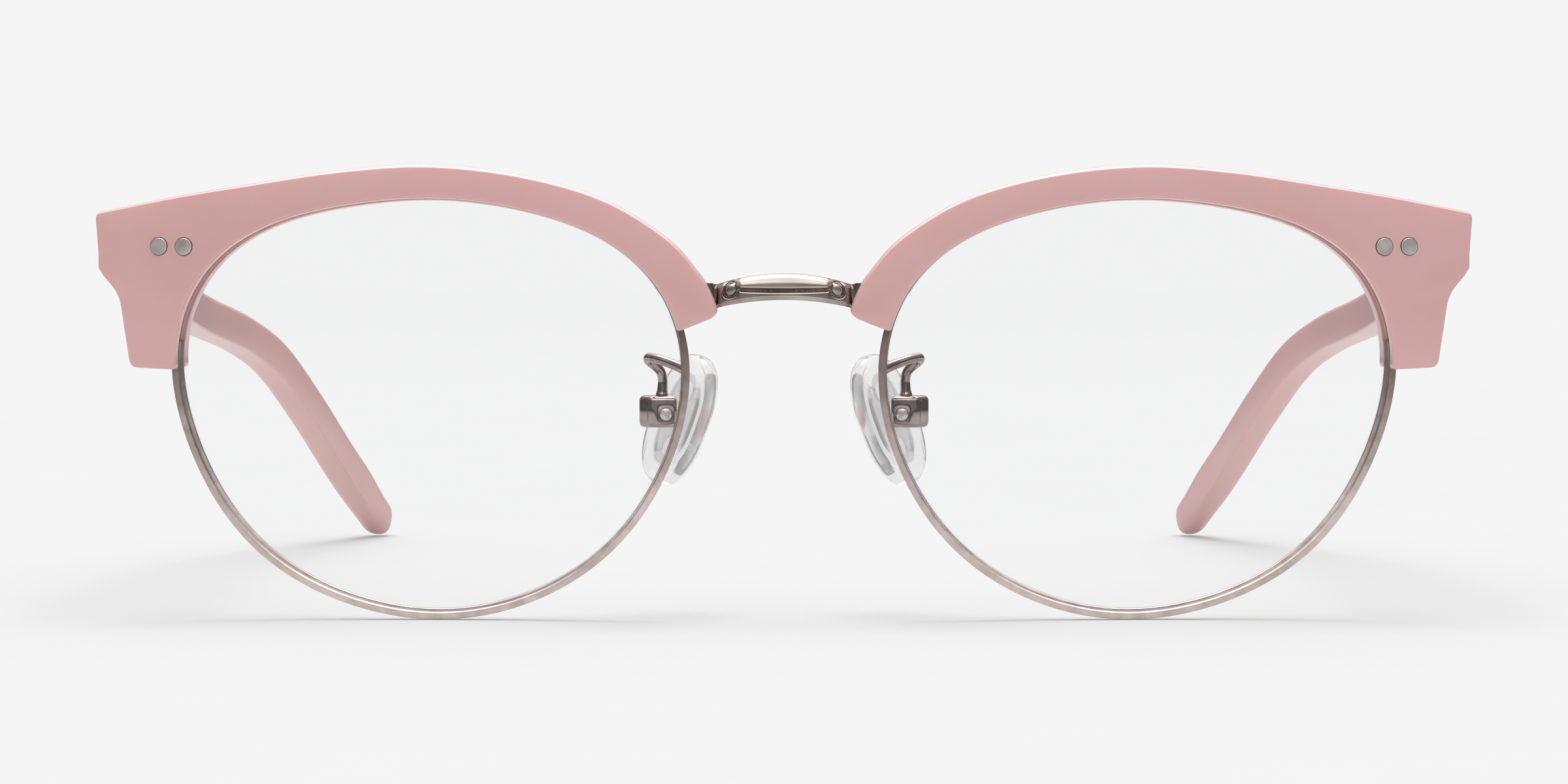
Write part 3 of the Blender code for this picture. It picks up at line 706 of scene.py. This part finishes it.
# Painted shade: a near-black metal for the groove that holds the lens and for the rim's ends inside
# the brow, where only shade falls.
RIM_PAINTED_SHADE = bare_metal("rim_painted_shade", (0.10, 0.07, 0.065), (0.17, 0.12, 0.115), (0.2, 0.35), EVEN)
BRIDGE_METAL = bridge_metal()
POLISHED_METAL = bare_metal(
    "polished_metal", (0.25, 0.20, 0.195), (0.44, 0.37, 0.36), (0.03, 0.08), EVEN
)
STEEL = bare_metal("satin_steel", (0.60, 0.55, 0.53), (0.77, 0.72, 0.69), (0.3, 0.45), ALONG_Y)
LENS_CLEAR = clear_lens()
EDGE_IN_BROW = ground_edge("edge_in_brow", (0.80, 0.71, 0.74), (0.80, 0.71, 0.74), 0.8)
# Painted light and shade: the bevel seen in the metal rim is light low on the lens and dark brown
# higher up.
EDGE_IN_RIM = ground_edge("edge_in_rim", (0.66, 0.60, 0.58), (0.15, 0.085, 0.075), 0.85)
SILICONE = clear_plastic("clear_silicone", 260.0, (0.96, 0.96, 0.96), (0.99, 0.99, 0.99), 1.28)
PAD_CORE = clear_plastic("clear_pad_core", 400.0, (0.92, 0.93, 0.94), (0.98, 0.98, 0.98), 1.37)


# Front pieces


def screw_hole(spot, front, back, radius):
    return front_turned(spot, front, ((0.0, radius), (back - front, radius)))


def brow_stations():
    """Rays from the lens centre with the brow's outer outline on them, nose to leg."""
    outline = [Vector(point) for point in spline(TOP_OUTLINE, 9)][:-1]
    # The wing's outline is open, so what was made for its first and last corner is left out
    outline += fillet(WING_CORNERS, 6)[7:-7]
    dense = []
    for here, ahead in zip(outline, outline[1:]):
        pieces = max(1, round((ahead - here).length / 1.2))
        dense += [here.lerp(ahead, step / pieces) for step in range(pieces)]
    dense.append(outline[-1])
    angles = [ray_angle(point) for point in dense]
    nose = sum(1 for angle in angles if angle < NASAL_SPREAD[1])
    leg = sum(1 for angle in angles if angle < LEG_SPREAD[0])
    for index in range(nose):
        angles[index] = NASAL_SPREAD[0] + (NASAL_SPREAD[1] - NASAL_SPREAD[0]) * index / nose
    rest = len(angles) - leg
    for index in range(rest):
        share = (index + 1) / rest
        angles[leg + index] = LEG_SPREAD[0] + (LEG_SPREAD[1] - LEG_SPREAD[0]) * share
    return list(zip(angles, dense))


def brow_ring(angle, outer, inset):
    inner = polar(angle, lens_radius(angle))
    reach = (outer - inner).length
    near, far = inset, reach - inset
    front, back, groove = BROW_FRONT + inset, BROW_BACK - inset, GROOVE_HALF_WIDTH + inset
    corners = (
        (near, front, 0.3),
        (far - 0.3, front, 0.12),
        (far, front + 0.85, 0.3),
        (far, back, 0.5),
        (near, back, 0.3),
        (near, groove, 0.08),
        (GROOVE_DEPTH + inset, groove, 0.04),
        (GROOVE_DEPTH + inset, -groove, 0.04),
        (near, -groove, 0.08),
    )
    ring = []
    for along, depth in fillet(corners, 4):
        u, w = inner.lerp(outer, along / reach)
        ring.append(front_point((u, depth, w)))
    return ring


def cap_rings(station, towards):
    """Rings that round off the brow past an end station, turning about its outer point."""
    angle, outer = station
    rings = []
    for share in (0.35, 0.7, 1.0):
        step = CAP_ROUND * math.sin(share * math.pi / 2)
        inset = CAP_ROUND * (1 - math.cos(share * math.pi / 2))
        degrees = towards * math.degrees(step / lens_radius(angle))
        rings.append(brow_ring(angle + degrees, outer, inset))
    return rings


def build_brow(side, sign):
    stations = brow_stations()
    rings = cap_rings(stations[0], -1)[::-1]
    rings += [brow_ring(angle, outer, 0.0) for angle, outer in stations]
    rings += cap_rings(stations[-1], 1)
    cuts = [
        soft_box(*NASAL_POCKET, 0.02, 0.02, front_point),
        soft_box(*TEMPORAL_POCKET, 0.02, 0.02, front_point),
        screw_hole(NASAL_SCREW, -1.8, -0.5, RIM_SCREW_HOLE),
        front_turned(TEMPORAL_SCREW, TEMPORAL_BORE_START, TEMPORAL_BORE),
    ]
    for _, u in FRONT_RIVETS:
        spot = (u, FRONT_RIVET_W)
        cuts.append(front_turned(spot, FRONT_RIVET_BORE_START, FRONT_RIVET_BORE, 48))
    block = soft_box(*WING_BLOCK, 0.35, 0.3, side_on)
    build_piece(f"brow_{side}", "front", sign, loft(rings), ACETATE, [block], cuts)


def rim_ring(degrees, section):
    radius = lens_radius(degrees)
    ring = []
    for offset, depth in section:
        u, w = polar(degrees, radius + offset)
        ring.append(front_point((u, depth, w)))
    return ring


def build_eyewire(side, sign):
    depth, groove = RIM_HALF_DEPTH, RIM_GROOVE_HALF_WIDTH
    corners = (
        (0.0, -depth, 0.17),
        (RIM_WIDTH, -depth, 0.1),
        (RIM_WIDTH, depth, 0.1),
        (0.0, depth, 0.14),
        (0.0, groove, 0.04),
        (RIM_GROOVE_DEPTH, groove * 0.8, 0.05),
        (RIM_GROOVE_DEPTH, -groove * 0.8, 0.05),
        (0.0, -groove, 0.04),
    )
    section = fillet(corners, 3)
    first, last = RIM_ENDS
    count = round((last - first) / RIM_STEP)
    rings = [rim_ring(first + (last - first) * i / count, section) for i in range(count + 1)]
    shell = loft(rings)
    shell.faces.ensure_lookup_table()
    size = len(section)
    # Painted shade: the groove's faces, and every face of the rim inside the brow, take the dark
    # second material.
    for index in range(count * size):
        middle = (Vector(section[index % size]) + Vector(section[(index + 1) % size])) / 2
        within_brow = first + (last - first) * (index // size) / count < LEG_SPREAD[1]
        in_bed = middle.x < RIM_GROOVE_DEPTH + 0.02 and abs(middle.y) < depth - 0.12
        shell.faces[index].material_index = 1 if in_bed or within_brow else 0
    made = make_object(f"eyewire_{side}_fine", shell, sign, front_point((LENS_U, 0.0, 0.0)))
    near, far = NASAL_EAR_FLAT
    rings = []
    for outer, w in NASAL_EAR_OUTER:
        row = ((NASAL_EAR_INNER, near), (outer, near), (outer, far), (NASAL_EAR_INNER, far))
        rings.append([front_point((u, v, w)) for u, v in row])
    combine(made, [loft(rings), soft_box(*TEMPORAL_EAR, 0.1, 0.1, front_point)], "UNION", sign)
    holes = [screw_hole(spot, -1.7, 1.9, RIM_SCREW_HOLE) for spot in (NASAL_SCREW, TEMPORAL_SCREW)]
    combine(made, holes, "DIFFERENCE", sign)
    finish_piece(made, "front", f"eyewire_{side}", [RIM_METAL, RIM_PAINTED_SHADE])


def build_lens(side, sign):
    half, edge, bevel = LENS_HALF_THICKNESS, -LENS_INSET, LENS_BEVEL_HALF_WIDTH
    angles = [LENS_STEP * i for i in range(round(360 / LENS_STEP))]
    rows = [(share, edge, -half) for share in LENS_SHARES]
    rows += [(1.0, edge, -half), (1.0, edge, -bevel), (1.0, edge + LENS_BEVEL_HEIGHT, 0.0)]
    rows += [(1.0, edge, bevel), (1.0, edge, half)]
    rows += [(share, edge, half) for share in LENS_SHARES[::-1]]
    rings = []
    for share, offset, depth in rows:
        ring = []
        for angle in angles:
            u, w = polar(angle, share * (lens_radius(angle) + offset))
            ring.append(front_point((u, depth, w)))
        rings.append(ring)
    shell = loft(rings)
    shell.faces.ensure_lookup_table()
    first, size = len(LENS_SHARES), len(angles)
    for index in range(first * size, (first + 4) * size):
        under_brow = NASAL_SPREAD[0] < angles[index % size] < RIM_ENDS[0]
        shell.faces[index].material_index = 1 if under_brow else 2
    made = make_object(f"lens_{side}_fine", shell, sign, front_point((LENS_U, 0.0, 0.0)))
    finish_piece(made, "front", f"lens_{side}", [LENS_CLEAR, EDGE_IN_BROW, EDGE_IN_RIM])


def slot_cut(start, axis, across, radius, deep):
    """A cutter for a screw's slot, across its head at the end of its axis."""
    axis, across = Vector(axis).normalized(), Vector(across).normalized()
    other = axis.cross(across)
    half_length, half_width = radius * 1.3, radius * 0.16
    rings = []
    for along in (-deep, deep):
        ring = []
        for a, b in ((-1, -1), (1, -1), (1, 1), (-1, 1)):
            flat = across * (a * half_length) + other * (b * half_width)
            ring.append(Vector(start) + axis * along + flat)
        rings.append(ring)
    return loft(rings)


def head_profile(shaft, head, length, thick):
    """A screw's profile: plain shaft, then a low domed head."""
    rows = [(0.0, shaft * 0.8), (0.12, shaft), (length, shaft)]
    rows += [(length, head * 0.94), (length + 0.05, head)]
    for step in range(1, 6):
        turn = math.pi / 2 * step / 6
        rows.append((length + thick * (0.4 + 0.6 * math.sin(turn)), head * math.cos(turn * 0.86)))
    return rows


def build_screw(name, sign, start, axis, length, sizes, across):
    """A screw from the end of its shaft, with its slot across a given direction."""
    shaft, head, thick, deep = sizes
    start, axis = Vector(start), Vector(axis)
    shell = turned(start, axis, head_profile(shaft, head, length, thick))
    cut = slot_cut(start + axis * (length + thick), axis, across, head, deep)
    build_piece(name, "front", sign, shell, STEEL, cuts=[cut])


def build_rim_screws(side, sign):
    for place, (u, w), length in RIM_SCREWS:
        start, axis = front_point((u, RIM_SCREW_START, w)), front_axis(u, w)
        name = f"rim_screw_{place}_{side}"
        build_screw(name, sign, start, axis, length, RIM_SCREW, (1, 0, 0.4))


# Bridge


def smooth_step(value):
    value = min(max(value, 0.0), 1.0)
    return value * value * (3 - 2 * value)


def bridge_relief(distance, height, low, high):
    """How far the bridge's front stands proud: a leaf over a panel, between two knobs."""
    knob_z = high - 0.95
    groove_z = high - 1.72 + 0.03 * distance**2
    from_knob = math.hypot(distance - KNOB_U, height - knob_z)
    inside = 1 - smooth_step((distance - 4.3) / 0.45)
    groove = math.exp(-(((height - groove_z) / 0.17) ** 2)) * inside
    leaf_part = (height - groove_z) / max(high - groove_z, 0.3)
    leaf = smooth_step(leaf_part * 5) * (1 - 0.8 * smooth_step(leaf_part * 1.5 - 0.5)) * inside
    ring = math.exp(-(((from_knob - KNOB_RADIUS) / 0.14) ** 2))
    knob = math.sqrt(max(0.0, 1 - (from_knob / KNOB_RADIUS) ** 2))
    panel = smooth_step((groove_z - height) * 6) * inside
    facet = smooth_step((distance - 6.0) / 1.2)
    edge = min(height - low, high - height)
    chamfer = 1 - smooth_step(edge / 0.45)
    proud = LEAF_RISE * leaf + PANEL_RISE * panel + KNOB_RISE * knob
    sunk = GROOVE_SINK * groove + RING_SINK * ring + FACET_SINK * facet + CHAMFER_SINK * chamfer
    return proud - sunk


def bridge_ring(u):
    """The bridge's section at a distance from the middle: a saddle that thins to flat feet."""
    distance = abs(u)
    share = smooth_step((distance - BRIDGE_BODY_END) / 1.0)
    curve = (distance / BRIDGE_CURVE_HALF) ** 2
    low, high, front = (
        middle + change * curve for middle, change in (BRIDGE_LOW, BRIDGE_HIGH, BRIDGE_FRONT)
    )
    (foot_front, foot_back), (foot_low, foot_high) = BRIDGE_FOOT
    points = []
    for row in range(BRIDGE_ROWS + 1):
        part = row / BRIDGE_ROWS
        height = low + (high - low) * part
        y = front - bridge_relief(distance, height, low, high)
        points.append(((y, height), (foot_front, foot_low + (foot_high - foot_low) * part)))
    for row in range(BRIDGE_BACK_ROWS + 1):
        part = 1 - row / BRIDGE_BACK_ROWS
        height = low + (high - low) * part
        y = BRIDGE_BACK - BRIDGE_BACK_ROUND * (1 - smooth_step(min(part, 1 - part) * 4))
        points.append(((y, height), (foot_back, foot_low + (foot_high - foot_low) * part)))
    ring = []
    for (y, z), (v, w) in points:
        mixed = Vector((distance, y, z)).lerp(front_point((distance, v, w)), share)
        ring.append(Vector((math.copysign(mixed.x, u), mixed.y, mixed.z)))
    return ring


def build_bridge():
    count = BRIDGE_STATIONS
    stations = [BRIDGE_HALF * (2 * i / count - 1) for i in range(count + 1)]
    made = make_object("bridge_fine", loft([bridge_ring(u) for u in stations]))
    for _, sign in SIDES:
        combine(made, [screw_hole(NASAL_SCREW, -1.6, 0.8, RIM_SCREW_HOLE)], "DIFFERENCE", sign)
    finish_piece(made, "front", "bridge", [BRIDGE_METAL], 70)


# Hinges and rivets


def knuckle(low, high):
    soft, radius, height = KNUCKLE_SOFT, KNUCKLE_RADIUS, high - low
    lower = ((0.0, radius - soft), (soft, radius))
    upper = ((height - soft, radius), (height, radius - soft))
    return turned((PIN_X, PIN_Y, low), (0, 0, 1), lower + upper)


def pin_bore():
    low, length = PIN_BORE
    return bore((PIN_X, PIN_Y, low), (0, 0, 1), KNUCKLE_HOLE, length, 40)


def build_hinge_front(side, sign):
    def leaf_place(point):
        return front_point((point[0], point[2], point[1]))

    leaf = soft_box(*LEAF, 0.6, 0.15, leaf_place)
    parts = []
    near, far = LEAF_ARM
    for low, high in (KNUCKLES[0], KNUCKLES[2]):
        parts.append(soft_box((*near, low), (*far, low + LEAF_ARM_HEIGHT), 0.25, 0.12))
        parts.append(knuckle(low, high))
    cuts = [pin_bore()]
    for _, u in FRONT_RIVETS:
        cuts.append(screw_hole((u, FRONT_RIVET_W), 2.0, 5.0, FRONT_RIVET_HOLE))
    name = f"hinge_front_{side}"
    build_piece(name, "front", sign, leaf, POLISHED_METAL, parts, cuts)


def build_hinge_temple(side, sign):
    plate = soft_box(*PLATE, 0.9, 0.12, side_on)
    low, high = KNUCKLES[1]
    near, far = PLATE_ARM
    parts = [knuckle(low, high), soft_box((*near, low), (*far, high), 0.25, 0.12)]
    cuts = [pin_bore()]
    for _, y in TEMPLE_RIVETS:
        cuts.append(bore((63.0, y, TEMPLE_RIVET_Z), (1, 0, 0), TEMPLE_RIVET_HOLE, 4.0))
    name, body = f"hinge_temple_{side}", f"temple_{side}"
    build_piece(name, body, sign, plate, POLISHED_METAL, parts, cuts)


def build_hinge(side, sign):
    build_hinge_front(side, sign)
    build_hinge_temple(side, sign)
    start, up = (PIN_X, PIN_Y, HINGE_SCREW_LOW), (0, 0, 1)
    length = HINGE_SCREW_LENGTH
    build_screw(f"hinge_screw_{side}", sign, start, up, length, HINGE_SCREW, (1, 0.3, 0))


def build_rivets(side, sign):
    profile = FRONT_RIVET_HEAD + FRONT_RIVET_TAIL
    for place, u in FRONT_RIVETS:
        shell = front_turned((u, FRONT_RIVET_W), FRONT_RIVET_START, profile, 48)
        build_piece(f"rivet_{place}_{side}", "front", sign, shell, STEEL)
    profile = TEMPLE_RIVET_TAIL + TEMPLE_RIVET_HEAD
    for place, y in TEMPLE_RIVETS:
        name = f"temple_rivet_{place}_{side}"
        shell = turned((TEMPLE_RIVET_X, y, TEMPLE_RIVET_Z), (1, 0, 0), profile)
        build_piece(name, f"temple_{side}", sign, shell, STEEL)


# Temple


def temple_stations(steps):
    """Centre, side direction, up direction, height, thickness and direction along the temple."""
    rows = spline(TEMPLE_PATH, steps)
    centres = [Vector(row[:3]) for row in rows]
    stations = []
    for index, row in enumerate(rows):
        along = direction(centres, index) if index else Vector((0, 1, 0))
        across = along.cross(Vector((0, 0, 1))).normalized()
        stations.append((centres[index], across, across.cross(along), *row[3:], along))
    return stations


def temple_ring(station, size, roundness=0.0):
    """The temple's section: a crisp lower inner corner and softer outer ones."""
    centre, across, up, height, thickness, _ = station
    high, wide = size * height / 2, size * thickness / 2
    radii = [size * (radius + (TIP_CORNER - radius) * roundness) for radius in TEMPLE_CORNERS]
    places = ((wide, high), (-wide, high), (-wide, -high), (wide, -high))
    corners = [(a, b, radius) for (a, b), radius in zip(places, radii)]
    return [centre + across * a + up * b for a, b in fillet(corners, 6)]


def build_temple(side, sign):
    stations = temple_stations(9)
    first = stations[0]
    smaller = (first[3] - FRONT_END_SHRINK, first[4] - FRONT_END_SHRINK)
    rings = [temple_ring((*first[:3], *smaller, first[5]), 1.0)]
    rings.append(temple_ring((first[0] + FRONT_END_SHIFT, *first[1:]), 1.0))
    along = stations[-1][5]
    centre = stations[-1][0] - along * (TIP_ROUND - TIP_REACH)
    for station in stations[1:]:
        left = (centre - station[0]).dot(along)
        if left > 0.2:
            rings.append(temple_ring(station, 1.0, smooth_step(1 - left / TIP_BLEND)))
    for step in range(TIP_RINGS):
        turn = math.pi / 2 * step / TIP_CLOSING
        station = (centre + along * (TIP_ROUND * math.sin(turn)), *stations[-1][1:])
        rings.append(temple_ring(station, math.cos(turn), 1.0))
    cuts = [core_channel()]
    for _, y in TEMPLE_RIVETS:
        start = (TEMPLE_RIVET_BORE_X, y, TEMPLE_RIVET_Z)
        cuts.append(turned(start, (1, 0, 0), TEMPLE_RIVET_BORE))
    name = f"temple_{side}"
    build_piece(name, name, sign, loft(rings), TEMPLE_ACETATE, cuts=cuts)


def core_channel():
    centres = []
    for centre, _, up, _, _, _ in temple_stations(3)[:-2]:
        fade = max(0.0, 1 - (centre.y - TEMPLE_PATH[0][1]) / CORE_LIFT_LENGTH)
        centres.append(centre + up * (CORE_LIFT * fade))
    centres.insert(0, centres[0] - Vector((0, 1.5, 0)))
    centres.append(centres[-1] + (centres[-1] - centres[-2]) * 0.1)
    rings = []
    for index, centre in enumerate(centres):
        along = direction(centres, index)
        across = along.cross(Vector((0, 0, 1))).normalized()
        rings.append(circle(centre, across, across.cross(along), CHANNEL_RADIUS, 12))
    return loft(rings)


# Nose pads


def build_pad_arm(side, sign):
    centres = [Vector(point) for point in spline(ARM_PATH, 12)]
    rings = []
    first = (centres[1] - centres[0]).orthogonal().normalized()
    count = len(centres) - 1
    for index, centre in enumerate(centres):
        along = direction(centres, index)
        first = (first - along * first.dot(along)).normalized()
        to_box = max(count - index - SOLDER_INSIDE, 0)
        solder = math.exp(-index / SOLDER_SPREAD) + math.exp(-to_box / SOLDER_SPREAD)
        radius = ARM_RADIUS + SOLDER_RADIUS * solder
        rings.append(circle(centre, first, along.cross(first), radius, 24))
    build_piece(f"pad_arm_{side}", "front", sign, loft(rings), POLISHED_METAL)


def build_pad_box(side, sign):
    (x0, y0, z0), (x1, y1, z1) = BOX

    def outline(inset):
        corners = (
            (x0 + inset, y0 + inset, 0.25),
            (x1 - BOX_BEVEL, y0 + inset, 0.35),
            (x1 - inset, y0 + BOX_BEVEL, 0.35),
            (x1 - inset, y1 - inset, 0.3),
            (x0 + inset, y1 - inset, 0.2),
        )
        return fillet(corners, 5)

    shell = soft_prism(outline, z0, z1, 0.5, Vector)
    (half_x, half_z), (near, far) = BOX_RECESS
    low = (PAD_AXIS_X - half_x, PAD_AXIS_Z - half_z, near)
    high = (PAD_AXIS_X + half_x, PAD_AXIS_Z + half_z, far)
    cuts = [
        soft_box(*BOX_CAVITY, 0.1, 0.1),
        soft_box(low, high, 0.6, 0.1, face_on),
        bore((PAD_AXIS_X, y0 - 1.0, PAD_AXIS_Z), (0, 1, 0), PAD_BORE_RADIUS, 2.6),
    ]
    name = f"pad_box_{side}"
    build_piece(name, "front", sign, shell, POLISHED_METAL, cuts=cuts)
    start, ahead = (PAD_AXIS_X, PAD_SCREW_START, PAD_AXIS_Z), (0, -1, 0)
    build_screw(f"pad_screw_{side}", sign, start, ahead, PAD_SCREW_LENGTH, PAD_SCREW, (1, 0, 1))


def oblong(length, width, count=64):
    """An outline between an ellipse and a rounded rectangle."""
    points = []
    for index in range(count):
        angle = 2 * math.pi * index / count
        along = length / 2 * math.copysign(abs(math.cos(angle)) ** 0.85, math.cos(angle))
        across = width / 2 * math.copysign(abs(math.sin(angle)) ** 0.8, math.sin(angle))
        points.append((along, across))
    return points


def pad_place(point):
    """Place a point that is given along the pad's length, width and thickness."""
    long_way = PAD_LEAN.normalized()
    wide_way = Vector((math.sin(PAD_SPLAY), math.cos(PAD_SPLAY), 0.0))
    wide_way = (wide_way - long_way * wide_way.dot(long_way)).normalized()
    thick_way = long_way.cross(wide_way)
    return PAD_CENTRE + long_way * point[0] + wide_way * point[1] + thick_way * point[2]


def lug_box(half_sizes, depths, soft):
    """A box round the pad screw's axis, between two depths."""
    (half_x, half_z), (near, far) = half_sizes, depths
    low = (PAD_AXIS_X - half_x, near, PAD_AXIS_Z - half_z)
    high = (PAD_AXIS_X + half_x, far, PAD_AXIS_Z + half_z)
    return soft_box(low, high, 0.2, soft)


def build_nose_pad(side, sign):
    half = PAD_HALF_THICKNESS
    rings = []
    for step in range(17):
        turn = math.pi * (0.04 + 0.92 * step / 16) - math.pi / 2
        size = 0.62 + 0.38 * math.cos(turn) ** 0.6
        depth = half * math.sin(turn) / math.sin(math.pi * 0.46)
        points = oblong(PAD_LENGTH * size, PAD_WIDTH * size)
        rings.append([pad_place((a, b, depth)) for a, b in points])
    gap, thick = INSERT_GAP, INSERT_HALF_THICKNESS
    outline = oblong(*(size + 2 * gap for size in INSERT))
    room = prism(outline, -thick - gap, thick + gap, pad_place)
    cuts = [room, lug_box(*LUG_ROOM, 0.1)]
    name = f"nose_pad_{side}"
    build_piece(name, name, sign, loft(rings), SILICONE, cuts=cuts)


def build_pad_insert(side, sign):
    thick = INSERT_HALF_THICKNESS
    plate = prism(oblong(*INSERT), -thick, thick, pad_place)
    made = make_object(f"pad_insert_{side}_fine", plate, sign)
    windows = []
    for place in (WINDOW_PLACE, -WINDOW_PLACE):
        loop = [(place + a, b) for a, b in oblong(*WINDOW, 40)]
        windows.append(prism(loop, -1.0, 1.0, pad_place))
    combine(made, windows, "DIFFERENCE", sign)
    combine(made, [lug_box(*LUG, 0.12)], "UNION", sign)
    hole = bore((PAD_AXIS_X, 5.0, PAD_AXIS_Z), (0, 1, 0), PAD_BORE_RADIUS, 3.4)
    combine(made, [hole], "DIFFERENCE", sign)
    finish_piece(made, f"nose_pad_{side}", f"pad_insert_{side}", [PAD_CORE])


def finish_cores():
    """The temples' core wires stay as packed, inside their channels, in satin steel."""
    for side, _ in SIDES:
        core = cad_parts[f"temple_core_{side}"]
        core.data.materials.clear()
        core.data.materials.append(STEEL)


# Stage, light and camera


def stage_material():
    """Pale floor, self-lit so that only contact shadows show, and dimmer far off in metal."""
    tree = material_tree("pale_floor")
    grain = tree.noise(40.0, detail=2.0)
    place = tree.node("ShaderNodeTexCoord")
    distance = tree.node("ShaderNodeVectorMath", operation="LENGTH")
    tree.link(place.outputs["Object"], distance.inputs[0])
    falloff = tree.ramp(distance.outputs["Value"], 1.0, FAR_FLOOR, *FLOOR_FALLOFF)
    lit = tree.math("MAXIMUM", falloff, tree.looking())
    for pale, target in ((FLOOR_ALBEDO, "Base Color"), (FLOOR_GLOW, "Emission Color")):
        tone = tree.ramp(grain, (pale - 0.001,) * 3, (pale + 0.001,) * 3)
        dimmed = tree.ramp(lit, (0.0, 0.0, 0.0), (1.0, 1.0, 1.0), 0.0, 1.0)
        tree.drive(target, tree.multiply(tone, dimmed))
    return tree.set(Roughness=1.0, Specular_IOR_Level=0.0, Emission_Strength=1.0)


def build_floor():
    shell = bmesh.new()
    bmesh.ops.create_grid(shell, x_segments=2, y_segments=2, size=FLOOR_HALF_SIZE)
    mesh = bpy.data.meshes.new("floor")
    shell.to_mesh(mesh)
    shell.free()
    mesh.materials.append(stage_material())
    floor = new_object("floor", mesh)
    floor.location.z = -FLOOR_GAP


def build_world():
    """A studio with a broad softbox overhead and dimmer walls, dimmest to both sides."""
    world = bpy.data.worlds.new("studio")
    bpy.context.scene.world = world
    tree = Tree(world)
    tree.nodes.clear()
    place = tree.node("ShaderNodeTexCoord")
    parts = tree.node("ShaderNodeSeparateXYZ")
    tree.link(place.outputs["Generated"], parts.inputs["Vector"])
    to_side = tree.math("ABSOLUTE", parts.outputs["X"])
    softbox = tree.ramp(parts.outputs["Z"], *SOFTBOX, "SMOOTHSTEP")
    narrowed = tree.math("MULTIPLY", softbox, tree.ramp(to_side, *SOFTBOX_SIDES, "SMOOTHSTEP"))
    walls = tree.ramp(to_side, *WALLS, "SMOOTHSTEP")
    around = tree.node("ShaderNodeBackground")
    tree.link(tree.math("ADD", walls, narrowed), around.inputs["Strength"])
    seen = tree.node("ShaderNodeBackground")
    seen.inputs["Color"].default_value = BACKDROP
    tree.mix_shaders(tree.looking(), around, seen, tree.node("ShaderNodeOutputWorld"))


def aim(made, towards):
    made.rotation_mode = "QUATERNION"
    made.rotation_quaternion = towards.to_track_quat("-Z", "Y")


def build_sun():
    """A very soft light from far away, so that it falls evenly on the whole floor."""
    data = bpy.data.lights.new("overhead", "SUN")
    data.angle = math.radians(SUN_SPREAD)
    data.energy = SUN_STRENGTH
    aim(new_object("overhead", data), SUN_DIRECTION)


def build_camera():
    """Level with the top of the front, and aimed slightly down."""
    data = bpy.data.cameras.new("camera")
    data.lens = CAMERA_LENS
    data.sensor_width = 36.0
    data.clip_start = 0.01
    data.clip_end = 100.0
    camera = new_object("camera", data)
    camera.location = Vector((0.0, DEPTH_SHIFT - CAMERA_DISTANCE, CAMERA_HEIGHT)) * MM
    aim(camera, Vector((0.0, DEPTH_SHIFT, CAMERA_AIM)) * MM - camera.location)
    bpy.context.scene.camera = camera


SIDE_BUILDERS = (
    build_brow, build_eyewire, build_lens, build_rim_screws, build_hinge, build_rivets,
    build_temple, build_pad_arm, build_pad_box, build_nose_pad, build_pad_insert,
)

build_bridge()
for side_name, side_sign in SIDES:
    for build in SIDE_BUILDERS:
        build(side_name, side_sign)
finish_cores()
build_floor()
build_world()
build_sun()
build_camera()
bpy.context.scene.view_settings.view_transform = "Standard"
